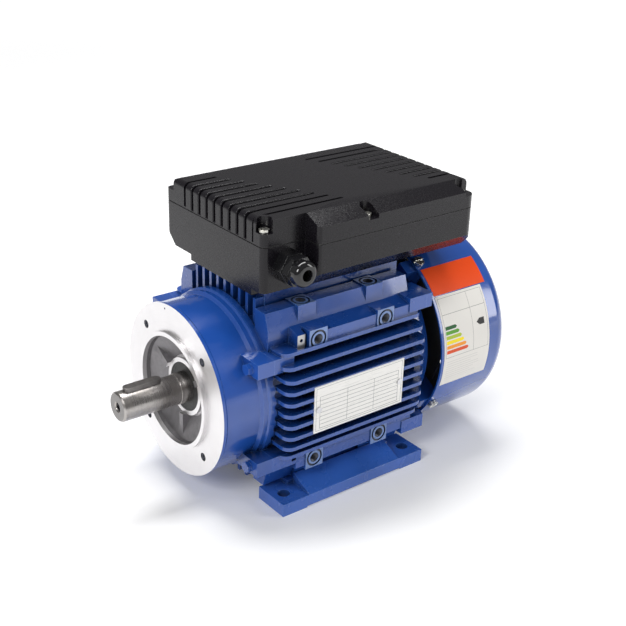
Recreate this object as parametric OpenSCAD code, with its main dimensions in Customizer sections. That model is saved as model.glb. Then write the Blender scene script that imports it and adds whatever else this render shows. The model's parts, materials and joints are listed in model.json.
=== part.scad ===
// Single-phase capacitor motor, foot and face mounted.
// Origin: centre of the flange mounting face. +X leaves the drive end along the shaft, +Z is up.

/* [Shaft end] */
// Diameter of the shaft extension
shaft_d = 24; // [19:0.5:24.6]
// Length of the shaft extension beyond the flange face
shaft_ext = 50; // [40:1:80]
// Width of the parallel key
key_w = 8; // [5:0.5:10]
// Height of the parallel key
key_h = 7; // [5:0.5:9]
// Length of the parallel key, round ends included
key_len = 32; // [20:1:34]
// Distance from the shaft's end face to the key
key_gap = 5.5; // [2:0.5:7]
// Core diameter of the tapped centre hole
centre_hole_d = 6.8; // [4:0.1:8.5]
// Depth of the tapped centre hole
centre_hole_depth = 19; // [10:1:30]

/* [Mounting flange] */
// Outer diameter of the flange face
flange_d = 140; // [136:1:146]
// Pitch circle of the tapped flange holes
flange_pcd = 115; // [108:1:122]
// Core diameter of the tapped flange holes
flange_tap_d = 6.8; // [5:0.1:8.5]
// Depth of the tapped flange holes
flange_tap_depth = 16; // [10:1:17]
// Diameter of the centring spigot
spigot_d = 95; // [92:1:100]
// Height of the centring spigot
spigot_h = 3; // [2:0.5:5]
// Diameter of the recess inside the spigot
recess_d = 88; // [84:1:90]

/* [Frame] */
// Height of the shaft axis above the feet
shaft_height = 90; // [88:1:108]
// Distance from the flange face to the front of the frame
shield_len = 41; // [38:1:50]
// Length of the frame casting beyond the core, both ends together
frame_room = 56; // [54:1:90]
// Outer diameter of the frame barrel under the fins
barrel_d = 140; // [138:0.5:142]
// Height of the side fin tips from the shaft axis
fin_reach = 86; // [82:1:88]
// Distance between neighbouring side fins
side_fin_pitch = 9.65; // [8:0.05:12]
// Height of the middle side fin above the shaft axis
side_fin_mid = -2; // [-4:0.5:4]
// Number of side fins above the middle one, and the number below it
side_fin_rows = 5; // [3:1:5]
// Thickness of a fin
fin_t = 3; // [2:0.2:4]
// Distance between neighbouring top and bottom fins
top_fin_pitch = 10; // [8:0.5:14]
// Height of the machined pad under the terminal box
box_pad_z = 84; // [82:0.5:90]

/* [Side pads] */
// Distance between the pads along the shaft
pad_spacing_x = 67; // [50:1:84]
// Distance from the flange face to the first pair of pads
pad_first = 81.5; // [78:0.5:90]
// Distance of the pad holes from the shaft axis, up or sideways
pad_offset = 52; // [51:0.5:54]
// Distance of a pad's face from the shaft axis
pad_face = 75.5; // [74:0.5:78]
// Width of a pad
pad_w = 17; // [14:0.5:18]
// Diameter of the tapped pad holes
pad_hole_d = 8; // [6:0.5:8]

/* [Feet] */
// Distance between the foot holes across the motor
foot_spacing_y = 140; // [136:1:150]
// Distance between the foot holes along the motor
foot_spacing_x = 125; // [100:1:140]
// Distance from the flange face to the first foot holes
foot_first = 56; // [50:1:63]
// Length of a foot
foot_len = 146; // [140:1:175]
// Thickness of a foot's end flat
foot_t = 11; // [9:0.5:12]
// Diameter of a foot hole
foot_hole_d = 10; // [8:0.5:12]
// Distance of a foot's outer edge from the shaft axis
foot_edge_y = 84; // [82:0.5:92]

/* [Electrical core] */
// Outer diameter of the stator core
stator_d = 130; // [126:1:132]
// Bore of the stator core
stator_bore = 80; // [76:1:84]
// Length of the stator and rotor cores
core_len = 95; // [80:1:100]
// Air gap between the rotor and the stator
air_gap = 0.35; // [0.25:0.05:0.6]
// Number of stator slots
stator_slots = 24; // [12:4:36]
// Number of rotor bars
rotor_bars = 30; // [18:2:40]

/* [Bearings] */
// Bore of a ball bearing
bearing_bore = 25; // [24.6:0.2:27]
// Outer diameter of a ball bearing
bearing_d = 52; // [50:1:56]
// Width of a ball bearing
bearing_w = 15; // [12:0.5:16]
// Diameter of a bearing ball
ball_d = 7.9; // [6.5:0.1:8.5]
// Number of balls in a bearing
ball_count = 9; // [6:1:10]

/* [Fan and cowl] */
// Outer diameter of the fan cowl
cowl_d = 170; // [164:1:190]
// Length of the fan cowl
cowl_len = 79; // [72:1:95]
// Thickness of the cowl sheet
cowl_t = 1.6; // [1:0.1:2]
// Corner radius of the cowl's closed end
cowl_corner = 14; // [8:1:18]
// Diameter of the fan
fan_d = 144; // [120:1:152]
// Number of fan blades
fan_blades = 8; // [5:1:12]

/* [Terminal box] */
// Length of the terminal box along the motor
box_len = 199; // [190:1:230]
// Width of the terminal box
box_w = 150; // [146:1:170]
// Height of the box floor above the shaft axis
box_floor_z = 91.5; // [90.5:0.5:100]
// Height of the box base
box_base_h = 36; // [34:1:48]
// Height of the box lid
box_lid_h = 20.5; // [18:0.5:28]
// Thickness of the base walls
box_wall = 2.8; // [2:0.1:3.2]
// Number of cooling grooves at each end of the lid
groove_count = 10; // [4:1:11]
// Distance between neighbouring lid grooves
groove_pitch = 10.3; // [8:0.1:11]
// Width of a lid groove
groove_w = 2.8; // [1.5:0.1:4]
// Depth of a lid groove
groove_depth = 2.2; // [1:0.1:2.6]

/* [Cable gland] */
// Distance across the flats of the gland's hexagons
gland_af = 22; // [18:0.5:24]
// Diameter of the gland's connection thread
gland_thread_d = 16; // [12:0.5:17]
// Diameter of the cable opening
gland_bore_d = 9; // [6:0.5:10]

/* [Capacitors] */
// Diameter of the start capacitor
start_cap_d = 40; // [34:1:44]
// Diameter of the run capacitor
run_cap_d = 38; // [32:1:44]
// Length of both capacitors
cap_len = 92; // [80:1:100]

/* [Nameplate] */
// Length of the nameplate
plate_l = 90; // [60:1:100]
// Height of the nameplate
plate_h = 40; // [30:1:44]

/* [Hidden] */
$fn = 64;
// Radial gap between a piece and the hole it sits in, same body
seat_gap = 0.05;
// Radial gap between turning and standing surfaces that run together
run_gap = 0.05;
// Length by which a cutting tool passes a face
cut = 1;

// Stations along the shaft
frame_front = -shield_len;
frame_len = core_len + frame_room;
frame_rear = frame_front - frame_len;
core_front = frame_front - frame_room / 2;
core_rear = core_front - core_len;
register_len = 6;

// Frame barrel, its end rims and the register bores
barrel_r = barrel_d / 2;
rim_r = barrel_r + 2.5;
rim_len = 5;
stator_r = stator_d / 2;
register_r = stator_r + 2;
fin_envelope_r = fin_reach + 4;
fin_end_r = 8;
fin_front = frame_front - rim_len - 1;
fin_rear = frame_rear + rim_len - 1;
rail_face = pad_face - 1;
rail_front = frame_front - 23;
rail_rear = fin_rear + 4;
rail_inner = 44;
earth_face = pad_face - 3;
bottom_fin_reach = pad_face + 4;

// Shield lugs and their screws
lug_y = 66;
lug_outer = pad_face;
lug_inner = 50;
front_lug_zs = [39, -45];
rear_lug_zs = [56, -56];
rear_lug_len = 6;
lug_h = 12;
lug_front = frame_front + 15;
frame_lug_len = 18;
lug_screw_d = 5;
lug_screw_head_af = 8;
lug_screw_head_h = 3.5;
lug_washer_t = 1;
lug_washer_r = 4.6;

// Screws that hold the feet under the lower pads
foot_screw_head_d = 13;
foot_screw_head_h = 5;
foot_screw_sink = 7.4;

// Drive-end shield
body_r = flange_d / 2 - 1;
shield_wall = 5.6;
shield_inner_r = body_r - shield_wall;
hub_face = -9;
seal_w = 7;
seal_front = hub_face - 0.5;
seal_r = 20;
front_bearing_x = seal_front - seal_w - 2.5;
hub_r = bearing_d / 2 + 7;
hub_bore_r = bearing_bore / 2 + 4.5;

// Rear shield and the second bearing
rear_plate_t = 6;
rear_plate_front = frame_rear - 4;
rear_plate_rear = rear_plate_front - rear_plate_t;
rear_rim_len = 9;
rear_bearing_x = frame_rear - 2.8;
washer_t = 1.2;
rear_hub_end = rear_bearing_x - bearing_w - washer_t - 3;

// Shaft steps
bearing_r = bearing_bore / 2;
collar_r = bearing_r + 2.5;
core_seat_r = collar_r + 1;
fan_seat_r = bearing_r - 2.5;
shaft_rear = rear_hub_end - 46;

key_depth = key_h - 3;

// Rotor
rotor_r = stator_bore / 2 - air_gap;
bar_r = 2;
bar_circle_r = rotor_r - bar_r - 1;
ring_inner_r = rotor_r - 14;
ring_len = 9;
vane_len = 6;

// Stator slots and windings
slot_opening = 2.6;
slot_inner_r = stator_bore / 2 + 2;
slot_outer_r = stator_bore / 2 + 15.5;
slot_w = 7;
overhang = 22;
start_ring_outer = stator_bore / 2 + 9.5;

// Ball bearings
pitch_r = (bearing_bore + bearing_d) / 4;
groove_r = ball_d / 2 + 0.15;
outer_ring_inner_r = pitch_r + ball_d * 0.28;
inner_ring_outer_r = pitch_r - ball_d * 0.28;

// Fan and cowl
cowl_r = cowl_d / 2;
cowl_front = frame_rear - 14;
cowl_rear = cowl_front - cowl_len;
cowl_inner_r = cowl_r - cowl_t;
cowl_screw_x = cowl_front - 5;
cowl_screw_angles = [-32, 60, 148, 240];
cowl_screw_d = 5;
fan_x = rear_hub_end - 4;
fan_hub_len = 30;
fan_hub_r = fan_seat_r + 8;
circlip_t = 1.2;
circlip_x = fan_x - fan_hub_len;

// Start switch
governor_x = core_rear - ring_len - vane_len - 1;
governor_plate_r = 27;
governor_plate_t = 2;
weight_inner_r = collar_r + 4.5;
weight_outer_r = governor_plate_r - 1;
weight_pivot = [(weight_inner_r + weight_outer_r) / 2, 4.5];
weight_x = governor_x - governor_plate_t - 4.2;
weight_t = 3.8;
weight_pin_r = 1.5;
collar_rear = rear_bearing_x + 4.2;
collar_len = 4.6;
switch_x = rear_plate_front + 2.4;
switch_t = 1.6;
switch_inner_r = 33;
switch_outer_r = 52;
arm_pivot_z = 42;
switch_post_r = 48;
arm_pin_r = 0.8;
arm_pin_x = switch_x + switch_t + arm_pin_r + 0.8;

// Terminal box
box_front = frame_front;
box_rear = box_front - box_len;
box_half = box_w / 2;
seam_z = box_floor_z + box_base_h;
lid_top_z = seam_z + box_lid_h;
chamfer_in = 13;
chamfer_up = 12.5;
lid_slope_in = 15;
lid_slope_down = 7;
notch_len = 38;
notch_y = box_half - 16;
corner_r = 10;
gasket_t = 0.8;
plinth_half = 42;
plinth_front = box_front - 2;
plinth_len = 122;
floor_t = 3;
pad_block_front = plinth_front - 12;
lead_x = pad_block_front - 9;
lead_hole_r = 6;
lid_screw_d = 4;
pillar_r = 5;
pocket_r = 5.6;
pocket_lip = 3;
pocket_wall = 2.4;
pocket_z = lid_top_z - 10.5;
near_corner = [box_front - pillar_r - 0.5, notch_y - pillar_r - 1.5];
lid_screw_places = [
    near_corner,
    [box_front - 90, box_half - 9],
    [box_rear + 10, box_half - 10],
    [box_front - 9, -box_half + 9],
    [box_front - 90, -box_half + 9],
    [box_rear + 10, -box_half + 10]
];
base_screw_places = [for (x = [plinth_front - 36, plinth_front - 88], y = [-30, 30]) [x, y]];
base_screw_d = 5;
plinth_z = box_pad_z + 1;

// Gland
gland_x = box_front - 21;
gland_z = box_floor_z + 19.5;
gland_wall_y = notch_y - 1;
gland_hex_len = 10;
gland_neck_r = gland_thread_d / 2 + 0.6;
gland_neck_len = 7;
gland_seal_len = 5;
gland_dome_r = 8.8;

// Capacitors and terminal board
floor_top_z = box_floor_z + floor_t;
cap_front = box_front - 98;
cap_y = 34;
board_z = floor_top_z + 8;
board_x = box_front - 66;
board_size = [30, 76, 4];
earth_place = [board_x + 30, -52];
stud_places = [for (row = [0, 1], i = [-1, 0, 1]) [board_x - 8 + 16 * row, 24 * i]];
stud_d = 4;

// Nameplate
plate_x = frame_front - 30;
plate_z = -2;
plate_t = 0.8;
rivet_d = 3;
rivet_xs = [plate_x - 4, plate_x - plate_l + 4];

// Puts a piece drawn along +Z onto the shaft axis, starting at x
module along_x(x = 0) {
    translate([x, 0, 0]) rotate([0, 90, 0]) children();
}

// Revolves a profile of [radius, x] points about the shaft axis
module revolve_x(points) {
    rotate([0, 90, 0]) rotate_extrude($fn = 128) polygon(points);
}

// Plain ring about the shaft axis, from x to x + length
module ring_x(x, length, outer_r, inner_r) {
    difference() {
        along_x(x) cylinder(h = length, r = outer_r, $fn = 128);
        along_x(x - cut) cylinder(h = length + 2 * cut, r = inner_r, $fn = 128);
    }
}

// Solid prism whose outline [y, z] is carried along x, from x to x + length
module prism_x(x, length, points) {
    translate([x, 0, 0]) rotate([90, 0, 90]) linear_extrude(length) polygon(points);
}

// Box from corner to corner
module block(low, high) {
    translate(low) cube(high - low);
}

// Hexagonal prism of a given distance across flats, drawn along +Z
module hexagon(af, h) {
    cylinder(h = h, r = af / 2 / cos(30), $fn = 6);
}

// The four screw axes on one shield's lugs
module at_lugs(zs) {
    for (side = [-1, 1], z = zs) translate([0, side * lug_y, z]) children();
}

// Lug blocks from x to x + length, on all four corners
module lug_blocks(x, length, zs) {
    for (side = [-1, 1], z = zs)
        block([x, side > 0 ? lug_inner : -lug_outer, z - lug_h / 2],
              [x + length, side > 0 ? lug_outer : -lug_inner, z + lug_h / 2]);
}

// ---------------------------------------------------------------- Frame

// One side fin, from the barrel out to its tip, with round ends
module side_fin(z) {
    tip = min(fin_reach, sqrt(fin_envelope_r * fin_envelope_r - z * z));
    length = fin_front - fin_rear;
    translate([fin_rear, 0, z - fin_t / 2]) linear_extrude(fin_t) union() {
        translate([fin_end_r, 0]) square([length - 2 * fin_end_r, tip]);
        square([length, tip - fin_end_r]);
        for (x = [fin_end_r, length - fin_end_r]) translate([x, tip - fin_end_r]) circle(fin_end_r);
    }
}

// Scallops where the valleys between the side fins run into the front rim
module rim_scallops() {
    for (side = [-1, 1], i = [-side_fin_rows:side_fin_rows - 1]) {
        z = side_fin_mid + (i + 0.5) * side_fin_pitch;
        translate([fin_front - 1, side * barrel_r, z]) rotate([90, 0, 0])
            cylinder(h = 60, r = side_fin_pitch * 0.38, center = true, $fn = 24);
    }
}

// Fins on both sides, on the top and on the bottom
module frame_fins() {
    for (side = [0, 1]) mirror([0, side, 0])
        for (i = [-side_fin_rows:side_fin_rows]) side_fin(side_fin_mid + i * side_fin_pitch);
    for (i = [-4:4]) {
        y = i * top_fin_pitch;
        tip = min(box_pad_z - 1, sqrt(fin_envelope_r * fin_envelope_r - y * y));
        block([fin_rear, y - fin_t / 2, 0], [fin_front, y + fin_t / 2, tip]);
    }
    for (i = [-3:3]) {
        y = i * top_fin_pitch;
        block([fin_rear, y - fin_t / 2, -bottom_fin_reach], [fin_front, y + fin_t / 2, 0]);
    }
}

// One corner rail with its pads, in the +Y, +Z corner
module corner_rail() {
    inner = rail_inner;
    shoulder = pad_face - 18.5;
    waist = pad_face - 14.5;
    prism_x(rail_rear, rail_front - rail_rear, [
        [inner, inner], [rail_face, inner], [rail_face, shoulder], [waist, waist],
        [shoulder, rail_face], [inner, rail_face]
    ]);
    prism_x(rail_front - cut, frame_front - rim_len - rail_front + 2 * cut, [
        [inner, inner], [waist, inner], [waist, waist], [shoulder, rail_face], [inner, rail_face]
    ]);
    for (i = [0, 1]) {
        x = -pad_first - i * pad_spacing_x;
        low = pad_offset - pad_w / 2;
        high = pad_offset + pad_w / 2;
        block([x - pad_w / 2, rail_inner, low], [x + pad_w / 2, pad_face, high]);
        block([x - pad_w / 2, low, rail_inner], [x + pad_w / 2, high, pad_face]);
    }
}

// Tapped holes and ring grooves of one corner's pads
module pad_cuts() {
    for (i = [0, 1], turn = [0, 1]) {
        x = -pad_first - i * pad_spacing_x;
        rotate([turn * 90, 0, 0]) mirror([0, 0, turn]) translate([x, pad_offset, pad_face]) {
            translate([0, 0, -15]) cylinder(h = 15 + cut, d = pad_hole_d + 2 * seat_gap);
            difference() {
                translate([0, 0, -1.2]) cylinder(h = 1.2 + cut, r = pad_w / 2 - 1);
                translate([0, 0, -2]) cylinder(h = 4, r = pad_w / 2 - 2.6);
            }
        }
    }
}

// Machined seat for an outside earth screw at the front of the upper right rail
module earth_seat() {
    low = pad_offset - 6;
    high = pad_offset + 8;
    pad_front = -pad_first + pad_w / 2;
    slot_front = pad_front + 1.9;
    block([slot_front - cut / 2, earth_face, low], [rail_front + cut, rail_face + cut, high]);
    block([pad_front, earth_face - 6, low], [slot_front, rail_face + cut, high]);
    translate([(slot_front + rail_front) / 2, earth_face + cut, pad_offset + 1]) rotate([90, 0, 0])
        cylinder(h = 9, r = 1.4);
}

module frame() {
    color("royalblue") difference() {
        union() {
            along_x(frame_rear) cylinder(h = frame_len, r = barrel_r, $fn = 128);
            along_x(frame_rear) cylinder(h = rim_len, r = rim_r, $fn = 128);
            difference() {
                along_x(frame_front - rim_len) cylinder(h = rim_len, r = rim_r, $fn = 128);
                rim_scallops();
            }
            frame_fins();
            for (my = [0, 1], mz = [0, 1]) mirror([0, my, 0]) mirror([0, 0, mz]) corner_rail();
            lug_blocks(frame_front - frame_lug_len, frame_lug_len, front_lug_zs);
            lug_blocks(frame_rear, frame_lug_len, rear_lug_zs);
            block([plinth_front - plinth_len, -plinth_half, 0], [pad_block_front, plinth_half, box_pad_z]);
            for (side = [-1, 1]) translate([0, 0, plate_z])
                for (x = rivet_xs) block([x - 4, side > 0 ? 0 : -fin_reach, -5],
                                         [x + 4, side > 0 ? fin_reach : 0, 5]);
        }
        along_x(frame_rear - cut) cylinder(h = frame_len + 2 * cut, r = stator_r + seat_gap, $fn = 128);
        along_x(frame_front - register_len) cylinder(h = register_len + cut, r = register_r, $fn = 128);
        along_x(frame_rear - cut) cylinder(h = register_len + cut, r = register_r, $fn = 128);
        for (my = [0, 1], mz = [0, 1]) mirror([0, my, 0]) mirror([0, 0, mz]) pad_cuts();
        at_lugs(front_lug_zs) along_x(frame_front - frame_lug_len + 2)
            cylinder(h = frame_lug_len, d = lug_screw_d + 2 * seat_gap);
        at_lugs(rear_lug_zs) along_x(frame_rear - cut)
            cylinder(h = frame_lug_len - 1, d = lug_screw_d + 2 * seat_gap);
        translate([lead_x, 0, 0]) cylinder(h = box_pad_z + cut, r = lead_hole_r);
        for (p = base_screw_places) translate([p[0], p[1], box_pad_z - 10])
            cylinder(h = 10 + cut, d = base_screw_d + 2 * seat_gap);
        for (side = [-1, 1], x = rivet_xs) translate([x, side * (fin_reach + cut), plate_z])
            rotate([side * 90, 0, 0]) cylinder(h = 6 + cut, d = rivet_d + 2 * seat_gap);
        earth_seat();
    }
}

// ---------------------------------------------------------------- Shields, cowl and feet

module drive_end_shield() {
    color("royalblue") difference() {
        union() {
            revolve_x([
                [recess_d / 2, spigot_h], [spigot_d / 2, spigot_h], [spigot_d / 2, 0],
                [flange_d / 2, 0], [flange_d / 2, -2.5], [body_r, -4],
                [body_r, frame_front + 8], [rim_r - 1.2, frame_front + 6], [rim_r - 1.2, frame_front + 2],
                [rim_r, frame_front + 1], [rim_r, frame_front],
                [register_r - seat_gap, frame_front], [register_r - seat_gap, frame_front - register_len + 0.3],
                [shield_inner_r, frame_front - register_len + 0.3], [shield_inner_r, -11],
                [50, -11], [hub_r, -24], [hub_r, front_bearing_x - bearing_w - 1],
                [bearing_d / 2 + seat_gap, front_bearing_x - bearing_w - 1],
                [bearing_d / 2 + seat_gap, front_bearing_x], [hub_bore_r, front_bearing_x],
                [hub_bore_r, seal_front - seal_w], [seal_r + seat_gap, seal_front - seal_w],
                [seal_r + seat_gap, hub_face], [seal_r + 3.6, hub_face], [seal_r + 3.6, -13],
                [seal_r + 5, -13], [recess_d / 2 - 0.5, -4]
            ]);
            lug_blocks(frame_front, lug_front - frame_front, front_lug_zs);
            for (a = [45:90:315]) rotate([a, 0, 0]) translate([-19, flange_pcd / 2, 0])
                along_x() cylinder(h = 18, r = flange_tap_d / 2 + 4);
            for (a = [30:120:270]) rotate([a, 0, 0])
                block([-14, seal_r + 3, -2.5], [-5.5, recess_d / 2 - 0.6, 2.5]);
        }
        for (a = [45:90:315]) rotate([a, 0, 0]) translate([-flange_tap_depth, flange_pcd / 2, 0])
            along_x() cylinder(h = flange_tap_depth + cut, d = flange_tap_d);
        along_x(frame_front - register_len - cut)
            cylinder(h = register_len + 12, r = shield_inner_r, $fn = 128);
        at_lugs(front_lug_zs) along_x(frame_front - cut)
            cylinder(h = lug_front - frame_front + 2 * cut, d = lug_screw_d + 0.6);
        rotate([100, 0, 0]) translate([0, flange_d / 2 - 4, 0]) along_x(-2) cylinder(h = 3, r = 0.8);
    }
}

module rear_end_shield() {
    pocket_end = rear_bearing_x - bearing_w - washer_t;
    color("royalblue") difference() {
        union() {
            revolve_x([
                [shield_inner_r, frame_rear + register_len - 0.3],
                [register_r - seat_gap, frame_rear + register_len - 0.3],
                [register_r - seat_gap, frame_rear], [rim_r, frame_rear],
                [rim_r, frame_rear - rear_rim_len], [barrel_r, rear_plate_rear - 1],
                [hub_r + 4, rear_plate_rear], [hub_r, rear_hub_end],
                [fan_seat_r + 1.5, rear_hub_end], [fan_seat_r + 1.5, pocket_end],
                [bearing_d / 2 + seat_gap, pocket_end],
                [bearing_d / 2 + seat_gap, rear_bearing_x + 1],
                [hub_r - 3, rear_bearing_x + 1], [hub_r - 3, rear_plate_front],
                [shield_inner_r, rear_plate_front]
            ]);
            lug_blocks(frame_rear - rear_lug_len, rear_lug_len, rear_lug_zs);
            for (a = cowl_screw_angles) rotate([a, 0, 0])
                block([cowl_screw_x - 6, shield_inner_r - 5, -6],
                      [rear_plate_front, cowl_inner_r - 0.4, 6]);
            for (a = [60, 120, 240, 300]) rotate([a, 0, 0])
                translate([0, switch_post_r, 0]) along_x(rear_plate_front - cut)
                    cylinder(h = switch_x - rear_plate_front + cut, r = 4);
        }
        at_lugs(rear_lug_zs) along_x(frame_rear - rear_lug_len - cut)
            cylinder(h = rear_lug_len + 2 * cut, d = lug_screw_d + 0.6);
        for (a = cowl_screw_angles) rotate([a, 0, 0])
            translate([cowl_screw_x, cowl_inner_r + cut, 0]) rotate([90, 0, 0])
                cylinder(h = 14, d = cowl_screw_d + 2 * seat_gap);
    }
}

// Cowl outline in [radius, x], for the outer or the inner skin
module cowl_profile(r, rear, corner) {
    union() {
        translate([0, rear]) square([r - corner, cowl_front - rear]);
        translate([0, rear + corner]) square([r, cowl_front - rear - corner]);
        translate([r - corner, rear + corner]) circle(corner);
    }
}

module fan_cowl() {
    rings = 6;
    ring_pitch = (cowl_r - cowl_corner - 16) / rings;
    color("royalblue") difference() {
        rotate([0, 90, 0]) rotate_extrude($fn = 128) intersection() {
            difference() {
                cowl_profile(cowl_r, cowl_rear, cowl_corner);
                cowl_profile(cowl_inner_r, cowl_rear + cowl_t, cowl_corner - cowl_t);
                translate([0, cowl_front - cut]) square([cowl_inner_r, 3 * cut]);
            }
            translate([0, cowl_rear - cut]) square([cowl_r + cut, cowl_len + 2 * cut]);
        }
        difference() {
            for (i = [0:rings - 1])
                ring_x(cowl_rear - cut, cowl_t + 2 * cut, 12 + (i + 1) * ring_pitch, 16 + i * ring_pitch);
            for (a = [0:45:135]) rotate([a, 0, 0])
                block([cowl_rear - 2 * cut, -cowl_r, -3], [cowl_rear + 3 * cut, cowl_r, 3]);
        }
        for (a = cowl_screw_angles) rotate([a, 0, 0])
            translate([cowl_screw_x, cowl_r + cut, 0]) rotate([90, 0, 0])
                cylinder(h = cowl_t + 2 * cut, d = cowl_screw_d + 0.4);
    }
}

// One foot on the +Y side
module foot() {
    mid_x = -foot_first - foot_spacing_x / 2;
    front = mid_x + foot_len / 2;
    wedge_front = front - 26;
    wedge_len = foot_len - 52;
    saddle_front = front - 20;
    saddle_len = foot_len - 40;
    inner_y = rail_inner;
    toe_y = foot_edge_y - 33;
    top_z = -shaft_height + foot_t;
    lip_y = pad_offset + pad_w / 2 + 1.2;
    difference() {
        union() {
            block([front - foot_len, toe_y, -shaft_height], [front, foot_edge_y, top_z]);
            prism_x(wedge_front - wedge_len, wedge_len, [
                [inner_y, -shaft_height], [foot_edge_y, -shaft_height], [foot_edge_y, top_z],
                [lip_y + 1.5, top_z + 8.5], [lip_y, top_z + 8.5], [lip_y, -pad_face], [inner_y, -pad_face]
            ]);
            block([saddle_front - saddle_len, inner_y, -shaft_height],
                  [saddle_front, lip_y, -pad_face]);
        }
        for (i = [0, 1]) translate([-foot_first - i * foot_spacing_x, foot_spacing_y / 2, -shaft_height - cut])
            cylinder(h = foot_t + 2 * cut, d = foot_hole_d);
        for (i = [0, 1]) translate([-pad_first - i * pad_spacing_x, pad_offset, 0]) {
            translate([0, 0, -shaft_height - cut])
                cylinder(h = shaft_height - pad_face + 2 * cut, d = pad_hole_d + 0.8);
            translate([0, 0, -shaft_height - cut])
                cylinder(h = foot_screw_sink + cut, d = foot_screw_head_d + 0.8);
        }
        block([mid_x - foot_len / 2 + 24, inner_y - cut, -shaft_height - cut],
              [mid_x + foot_len / 2 - 24, foot_edge_y + cut, -shaft_height + 1.2]);
    }
}

module left_foot() { color("royalblue") mirror([0, 1, 0]) foot(); }

module right_foot() { color("royalblue") foot(); }

// Socket-head screw drawn from the underside of its head at the origin, shank along +Z
module socket_screw(d, length, head_d, head_h, socket_af) {
    difference() {
        union() {
            translate([0, 0, -head_h]) cylinder(h = head_h, d = head_d);
            cylinder(h = length, d = d);
        }
        translate([0, 0, -head_h - cut]) hexagon(socket_af, head_h * 0.6 + cut);
    }
}

// Hexagon-head screw with a washer, drawn in the same way
module hex_screw(d, length, af, head_h, washer_r) {
    translate([0, 0, -lug_washer_t - head_h]) hexagon(af, head_h);
    translate([0, 0, -lug_washer_t]) cylinder(h = lug_washer_t, r = washer_r);
    translate([0, 0, -lug_washer_t - cut / 2]) cylinder(h = length + lug_washer_t, d = d);
}

// Pan-head screw with a slot, drawn in the same way
module pan_screw(d, length, head_d, head_h) {
    difference() {
        union() {
            translate([0, 0, -head_h]) cylinder(h = head_h, d = head_d);
            cylinder(h = length, d = d);
        }
        block([-head_d, -0.5, -head_h - cut], [head_d, 0.5, -head_h * 0.45]);
    }
}

module foot_screws() {
    color("silver") for (side = [-1, 1], i = [0, 1])
        translate([-pad_first - i * pad_spacing_x, side * pad_offset, -shaft_height + foot_screw_sink])
            socket_screw(pad_hole_d, shaft_height - foot_screw_sink - pad_face + 12,
                         foot_screw_head_d, foot_screw_head_h, 6);
}

module drive_end_screws() {
    color("silver") at_lugs(front_lug_zs) translate([lug_front, 0, 0]) rotate([0, -90, 0])
        hex_screw(lug_screw_d, lug_front - frame_front + 14, lug_screw_head_af, lug_screw_head_h, lug_washer_r);
}

module rear_end_screws() {
    color("silver") at_lugs(rear_lug_zs) translate([frame_rear - rear_lug_len, 0, 0]) rotate([0, 90, 0])
        hex_screw(lug_screw_d, rear_lug_len + 14, lug_screw_head_af, lug_screw_head_h, lug_washer_r);
}

module cowl_screws() {
    color("silver") for (a = cowl_screw_angles) rotate([a, 0, 0])
        translate([cowl_screw_x, cowl_r + 0.3, 0]) rotate([90, 0, 0])
            pan_screw(cowl_screw_d, 12, 9, 3);
}

// ---------------------------------------------------------------- Stator

module stator_core() {
    color("dimgray") along_x(core_rear) linear_extrude(core_len) difference() {
        circle(stator_r, $fn = 128);
        circle(stator_bore / 2, $fn = 128);
        for (i = [0:stator_slots - 1]) rotate(90 - i * 360 / stator_slots) {
            translate([stator_bore / 2 - cut, -slot_opening / 2])
                square([slot_inner_r - stator_bore / 2 + 2 * cut, slot_opening]);
            translate([slot_inner_r, -slot_w / 2]) square([slot_outer_r - slot_inner_r, slot_w]);
        }
    }
}

module slot_wedges() {
    color("beige") for (i = [0:stator_slots - 1]) rotate([i * 360 / stator_slots, 0, 0])
        block([core_rear - 1, slot_inner_r + 0.1, -slot_w / 2 + 0.2],
              [core_front + 1, slot_inner_r + 1, slot_w / 2 - 0.2]);
}

// Coil sides that fill every slot of one phase
module coil_sides(first, step, skip, inner_r, past) {
    for (i = [first:step:stator_slots - 1]) if (skip < 0 || i % 3 != skip)
        rotate([i * 360 / stator_slots, 0, 0])
            block([core_rear - past, inner_r, -slot_w / 2 + 0.35],
                  [core_front + past, slot_outer_r - 0.35, slot_w / 2 - 0.35]);
}

// Bundled end turns of one phase, at both ends of the core
module end_turns(inner_r, outer_r, gap) {
    for (x = [core_front + gap, core_rear - overhang])
        ring_x(x, overhang - gap, outer_r, inner_r);
}

module main_winding() {
    color("peru") {
        coil_sides(0, 1, 2, start_ring_outer + 0.6, 0.5);
        end_turns(start_ring_outer + 0.3, stator_r - 3, 0.4);
    }
}

module start_winding() {
    color("chocolate") {
        coil_sides(2, 3, -1, slot_inner_r + 1.3, 0.25);
        end_turns(slot_inner_r + 1.3, start_ring_outer, 0.15);
    }
}

// One lead: up through the frame, round a quarter bend, and along the box floor
module lead(side, reach) {
    wire_r = 1.3;
    bend_r = 6;
    y = 3 * side;
    top_z = floor_top_z + wire_r + 0.4;
    low_z = stator_r - 2.7;
    translate([lead_x, y, low_z]) cylinder(h = top_z - bend_r - low_z, r = wire_r, $fn = 16);
    translate([lead_x - bend_r, y, top_z - bend_r]) rotate([90, 0, 0])
        rotate_extrude(angle = 90, $fn = 32) translate([bend_r, 0]) circle(wire_r, $fn = 16);
    translate([lead_x - bend_r - reach, y, top_z]) along_x() cylinder(h = reach, r = wire_r, $fn = 16);
}

module winding_leads() {
    color("firebrick") for (side = [-1, 0, 1]) lead(side, 22);
}

// ---------------------------------------------------------------- Rotor

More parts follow.
